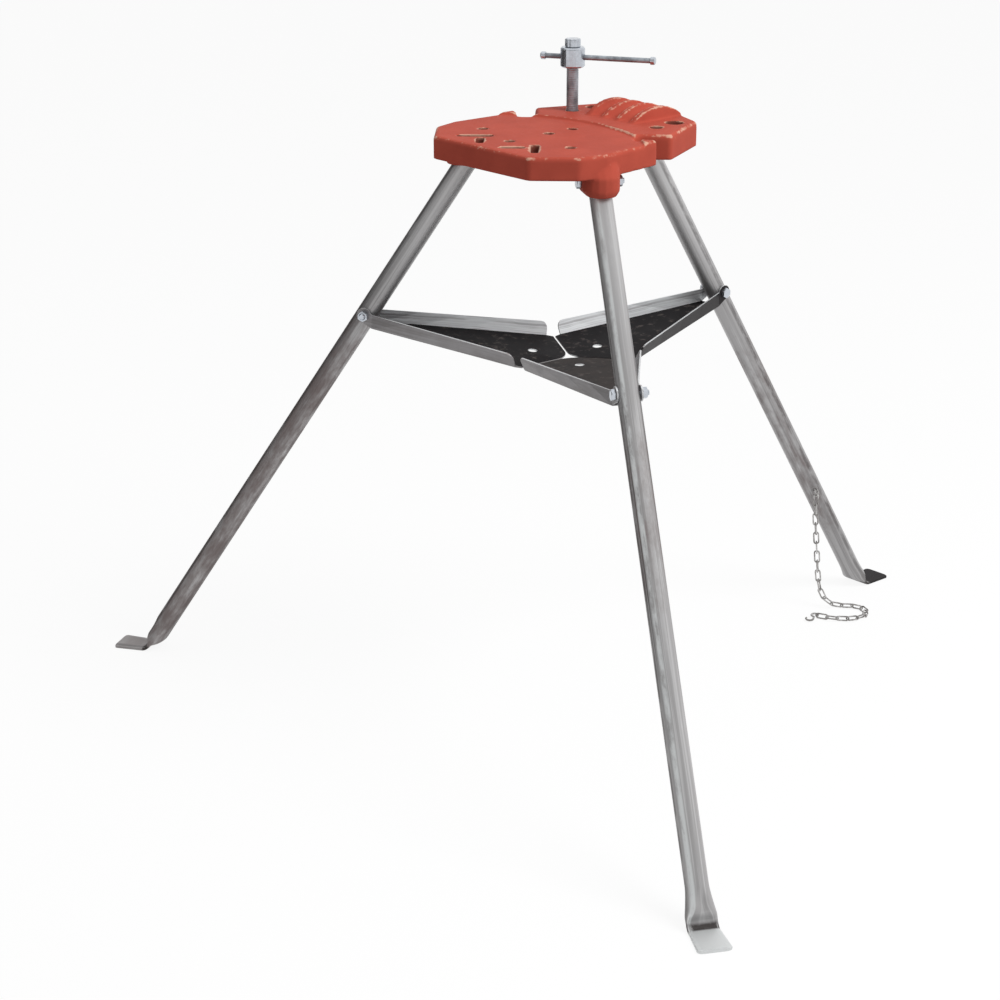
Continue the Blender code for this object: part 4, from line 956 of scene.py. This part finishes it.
bar_low, bar_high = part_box("handle_bar")
bar_turn = math.radians(BAR_AZIMUTH)
bar_along = np.array((math.cos(bar_turn), math.sin(bar_turn), 0.0))
bar_middle = screw_centre + (0, 0, (bar_low[2] + bar_high[2]) / 2)
bar_frame = (np.array((-bar_along[1], bar_along[0], 0.0)), np.array((0.0, 0.0, 1.0)), bar_along)
knob_wall = KNOB_LENGTH / 3
bar_stop = (-BAR_SHORT_END + knob_wall + KNOB_GAP, BAR_LONG_END - knob_wall - KNOB_GAP)
bar_end = [BAR_POLE, BAR_RADIUS - BAR_EDGE]
bar_radii = bar_end + [BAR_RADIUS] * BAR_ROWS + bar_end[::-1]
bar_run = np.linspace(bar_stop[0] + BAR_EDGE, bar_stop[1] - BAR_EDGE, BAR_ROWS)
bar_places = [bar_stop[0], bar_stop[0], *bar_run, bar_stop[1], bar_stop[1]]
bar_rows = laid_along(turned(bar_radii, bar_places), bar_middle, *bar_frame)
grid_piece("handle_rod", bar_rows, rod_steel, "zinc_plate", "handle_bar")
knob_turns = np.linspace(0, math.pi / 2, 9)
for end, name, sign in ((BAR_SHORT_END, "short", -1), (BAR_LONG_END, "long", 1)):
    bore = BAR_RADIUS + KNOB_GAP
    stop, rim = end - knob_wall, end - KNOB_LENGTH
    radii = [BAR_POLE, bore, bore, KNOB_RADIUS - KNOB_EDGE, KNOB_RADIUS]
    radii += list(KNOB_RADIUS - KNOB_ROUND * (1 - np.cos(knob_turns))) + [BAR_POLE]
    places = [stop, stop, rim, rim, rim + KNOB_EDGE]
    places += list(end - KNOB_ROUND * (1 - np.sin(knob_turns))) + [end]
    knob_rows = laid_along(turned(radii, sign * np.array(places)), bar_middle, *bar_frame)
    grid_piece(f"bar_knob_{name}", knob_rows, zinc_plate, "zinc_plate", f"handle_knob_{name}")

# Chain: welded steel wire links from an eye in the rear leg, hanging to the floor, lying there in a loop
# and ending in a bent wire hook. It keeps the legs from spreading when it is hooked round them.
CHAIN_EYE_HEIGHT = 0.197
EYE_TURN = 62.0
EYE_WIRE = 0.003
EYE_SHANK = 0.003
EYE_RADIUS = 0.0052
EYE_LEAD = 0.6
EYE_ARC = (8, 312, 40)
LINK_COUNT = 22
LINK_WIRE = 0.0023
LINK_WIDTH = 0.0095
LINK_LENGTH = 0.0214
LINK_SLACK = 0.0011
HANGING_LINKS = 9
LINK_TURN = 90.0
LAID_TURN = 45.0
LAST_LINKS = 7
LAST_TURN = 54.9
HOOK_WIRE = 0.003
HOOK_EYE_RADIUS = 0.005
HOOK_SHANK = 0.008
HOOK_BEND_RADIUS = 0.0055
HOOK_EYE_ARC = (-300, -6, 40)
HOOK_BEND_ARC = (90, -110, 30)
HOOK_TURN = 97.0
HOOK_DROP = 6.5
CHAIN_ROUTE = [
    (0.0213, 0.5119, 0.0964), (0.0235, 0.5143, 0.0584), (0.0255, 0.5163, 0.0380), (0.0290, 0.5201, 0.0225),
    (0.0350, 0.5267, 0.0110), (0.0435, 0.5361, 0.0052), (0.0505, 0.5434, 0.0043), (0.0575, 0.5503, 0.0043),
    (0.0668, 0.5563, 0.0045), (0.0773, 0.5577, 0.0047), (0.0875, 0.5546, 0.0047), (0.0953, 0.5476, 0.0046),
    (0.0993, 0.5378, 0.0046), (0.0991, 0.5280, 0.0049), (0.0962, 0.5180, 0.0051), (0.0905, 0.5080, 0.0052),
    (0.0815, 0.4992, 0.0053), (0.0690, 0.4915, 0.0053), (0.0545, 0.4850, 0.0053), (0.0400, 0.4790, 0.0053),
]
CHAIN_STEEL = (0.600, 0.590, 0.580, 1.0)
CHAIN_DARK = (0.270, 0.255, 0.245, 1.0)
WIRE_SIDES = 16
WIRE_TIP = 0.55


def arc(centre, first, second, radius, start, end, steps):
    """Points of an arc about a centre, from one direction towards the other."""
    angles = np.radians(np.linspace(start, end, steps + 1))[:, None]
    return centre + radius * (np.cos(angles) * first + np.sin(angles) * second)


def wire_rows(points, flat, radius):
    """A round wire: a circle carried along a path that lies in one plane, square to the path at each point.
    A smaller ring takes the edge off each end."""
    ahead = np.gradient(points, axis=0)
    ahead /= np.linalg.norm(ahead, axis=1)[:, None]
    beside = np.cross(flat, ahead)
    angles = round_angles(WIRE_SIDES)[:, None]
    circle = np.cos(angles) * beside[:, None] + np.sin(angles) * flat
    centre = np.concatenate([points[:1], points, points[-1:]])
    circle = np.concatenate([circle[:1], circle, circle[-1:]])
    size = np.full(len(centre), radius)
    size[[0, -1]] *= WIRE_TIP
    return centre[:, None] + size[:, None, None] * circle


def smooth_route(points, steps=24):
    """A smooth curve through the points, each stretch a cubic whose ends follow the neighbouring points."""
    points = np.asarray(points, float)
    padded = np.concatenate([2 * points[:1] - points[1:2], points, 2 * points[-1:] - points[-2:-1]])
    share = np.linspace(0, 1, steps, endpoint=False)[None, :, None]
    a, b, c, d = (padded[i : len(padded) - 3 + i][:, None] for i in range(4))
    bend = (2 * a - 5 * b + 4 * c - d) * share**2 + (3 * b - a - 3 * c + d) * share**3
    return np.concatenate([(b + ((c - a) * share + bend) / 2).reshape(-1, 3), points[-1:]])


def joints_along(curve, spacing, count):
    """Points along a curve, each at the same straight distance from the one before."""
    found, passed = [curve[0]], 0
    for _ in range(count):
        away = np.linalg.norm(curve[passed:] - found[-1], axis=1)
        passed += int(np.argmax(away >= spacing))
        ahead = curve[passed] - found[-1]
        found.append(found[-1] + ahead * spacing / np.linalg.norm(ahead))
    return np.array(found)


out, up, across = hinge_directions("rear")
rear_sin, rear_cos = leg_lean("rear")
eye_distance = (pivots["rear"][2] - CHAIN_EYE_HEIGHT) / rear_cos
eye_foot = pivots["rear"] + eye_distance * (rear_sin * out - rear_cos * up)
eye_turn = math.radians(EYE_TURN)
off_tube = math.cos(eye_turn) * (-rear_cos * out - rear_sin * up) - math.sin(eye_turn) * across
down_ring = off_tube * off_tube[2] - up
down_ring /= np.linalg.norm(down_ring)
eye_seat = TUBE_RADIUS + SEAT_GAP
eye_middle = eye_foot + off_tube * (eye_seat + EYE_SHANK + EYE_RADIUS)
eye_shank = eye_foot + off_tube * np.linspace(eye_seat, eye_seat + EYE_LEAD * EYE_SHANK, 3)[:, None]
eye_ring = arc(eye_middle, -off_tube, down_ring, EYE_RADIUS, *EYE_ARC)
eye_path = np.concatenate([eye_shank, eye_ring])
chain_steel, shader, start = new_finish("chain_steel", metallic=0.92)
place = start.node("ShaderNodeTexCoord", output="Object")
tarnish = cloud(start, place, 130.0, 4.0, 0.65)
rolled = cloud(start, place, 1100.0, 2.0)
blend(ramp(tarnish, 0.36, 0.62), CHAIN_DARK, CHAIN_STEEL).feed(shader, "Base Color")
(0.32 + 0.24 * tarnish).feed(shader, "Roughness")
relief(rolled, 0.12, 0.0003).feed(shader, "Normal")
eye_flat = np.cross(-off_tube, down_ring)
grid_piece("wire_eye", wire_rows(eye_path, eye_flat, EYE_WIRE / 2), chain_steel, "chain_steel", "chain_eye")

link_bend = (LINK_WIDTH - LINK_WIRE) / 2
link_straight = (LINK_LENGTH - LINK_WIDTH) / 2
link_inner_half = LINK_LENGTH / 2 - LINK_WIRE
link_pitch = 2 * link_inner_half - LINK_SLACK
ring_low = eye_middle - stand_axis - EYE_RADIUS * up
first_link = ring_low + (0, 0, EYE_WIRE / 2 + SEAT_GAP - link_inner_half)
first_joint = first_link + (0, 0, link_pitch / 2)
route = smooth_route([first_joint, first_joint - (0, 0, 2 * link_pitch), *CHAIN_ROUTE])
link_joints = joints_along(route, link_pitch, LINK_COUNT) + stand_axis
link_centres = (link_joints[1:] + link_joints[:-1]) / 2
link_aheads = (link_joints[1:] - link_joints[:-1]) / link_pitch
carried = np.array((off_tube @ out, off_tube @ across, 0.0))
link_acrosses = []
for index, ahead in enumerate(link_aheads):
    carried = carried - ahead * (carried @ ahead)
    carried = carried / np.linalg.norm(carried)
    laid = LAID_TURN * min(1, index / HANGING_LINKS)
    stood = LAST_TURN * max(0, index + 1 + LAST_LINKS - LINK_COUNT) / LAST_LINKS
    twist = math.radians(LINK_TURN * index + laid + stood)
    link_acrosses.append(math.cos(twist) * carried + math.sin(twist) * np.cross(ahead, carried))
link_acrosses = np.array(link_acrosses)


def link_grids(centres, aheads, acrosses, steps=10):
    """Each link is a circle carried round a loop of two straights and two half circles, in one plane."""
    turns = np.radians(np.linspace(-90, 90, steps + 1))
    ends = np.repeat((1.0, -1.0), steps + 1)
    ring = np.tile(turns, 2)
    leaning = (np.cos(ring) * ends)[None, :, None] * aheads[:, None]
    leaning = leaning + (np.sin(ring) * ends)[None, :, None] * acrosses[:, None]
    shifts = (ends * link_straight)[None, :, None] * aheads[:, None]
    middles = centres[:, None] + shifts + link_bend * leaning
    flats = np.cross(aheads, acrosses)[:, None, None]
    angles = round_angles(WIRE_SIDES)[:, None]
    circles = np.cos(angles) * leaning[:, :, None] + np.sin(angles) * flats
    return middles[:, :, None] + LINK_WIRE / 2 * circles


link_nodes = [f"chain_link_{index + 1:02d}" for index in range(LINK_COUNT)]
links = [skin(rows, loop=True) for rows in link_grids(link_centres, link_aheads, link_acrosses)]
wire_chain = clad("wire_chain", *joined(*links), chain_steel, "chain_steel", *link_nodes)

last, ahead, beside = link_centres[-1], link_aheads[-1], np.cross(link_aheads[-1], link_acrosses[-1])
beside = beside * math.copysign(1.0, ahead[0] * beside[1] - ahead[1] * beside[0])
hook_eye = last + ahead * (link_inner_half - HOOK_WIRE / 2 - SEAT_GAP + HOOK_EYE_RADIUS)
hook_turn, hook_drop = math.radians(HOOK_TURN), math.radians(HOOK_DROP)
hook_side = math.cos(hook_turn) * beside - math.sin(hook_turn) * ahead
hook_ahead = math.cos(hook_turn) * ahead + math.sin(hook_turn) * beside
hook_ahead = math.cos(hook_drop) * hook_ahead - math.sin(hook_drop) * up
bend_middle = hook_eye + hook_ahead * (HOOK_EYE_RADIUS + HOOK_SHANK) - hook_side * HOOK_BEND_RADIUS
hook_path = np.concatenate([
    arc(hook_eye, hook_ahead, hook_side, HOOK_EYE_RADIUS, *HOOK_EYE_ARC),
    arc(bend_middle, hook_ahead, hook_side, HOOK_BEND_RADIUS, *HOOK_BEND_ARC),
])
hook_rows = wire_rows(hook_path, np.cross(hook_ahead, hook_side), HOOK_WIRE / 2)
wire_hook = grid_piece("wire_hook", hook_rows, chain_steel, "chain_steel", "chain_hook")
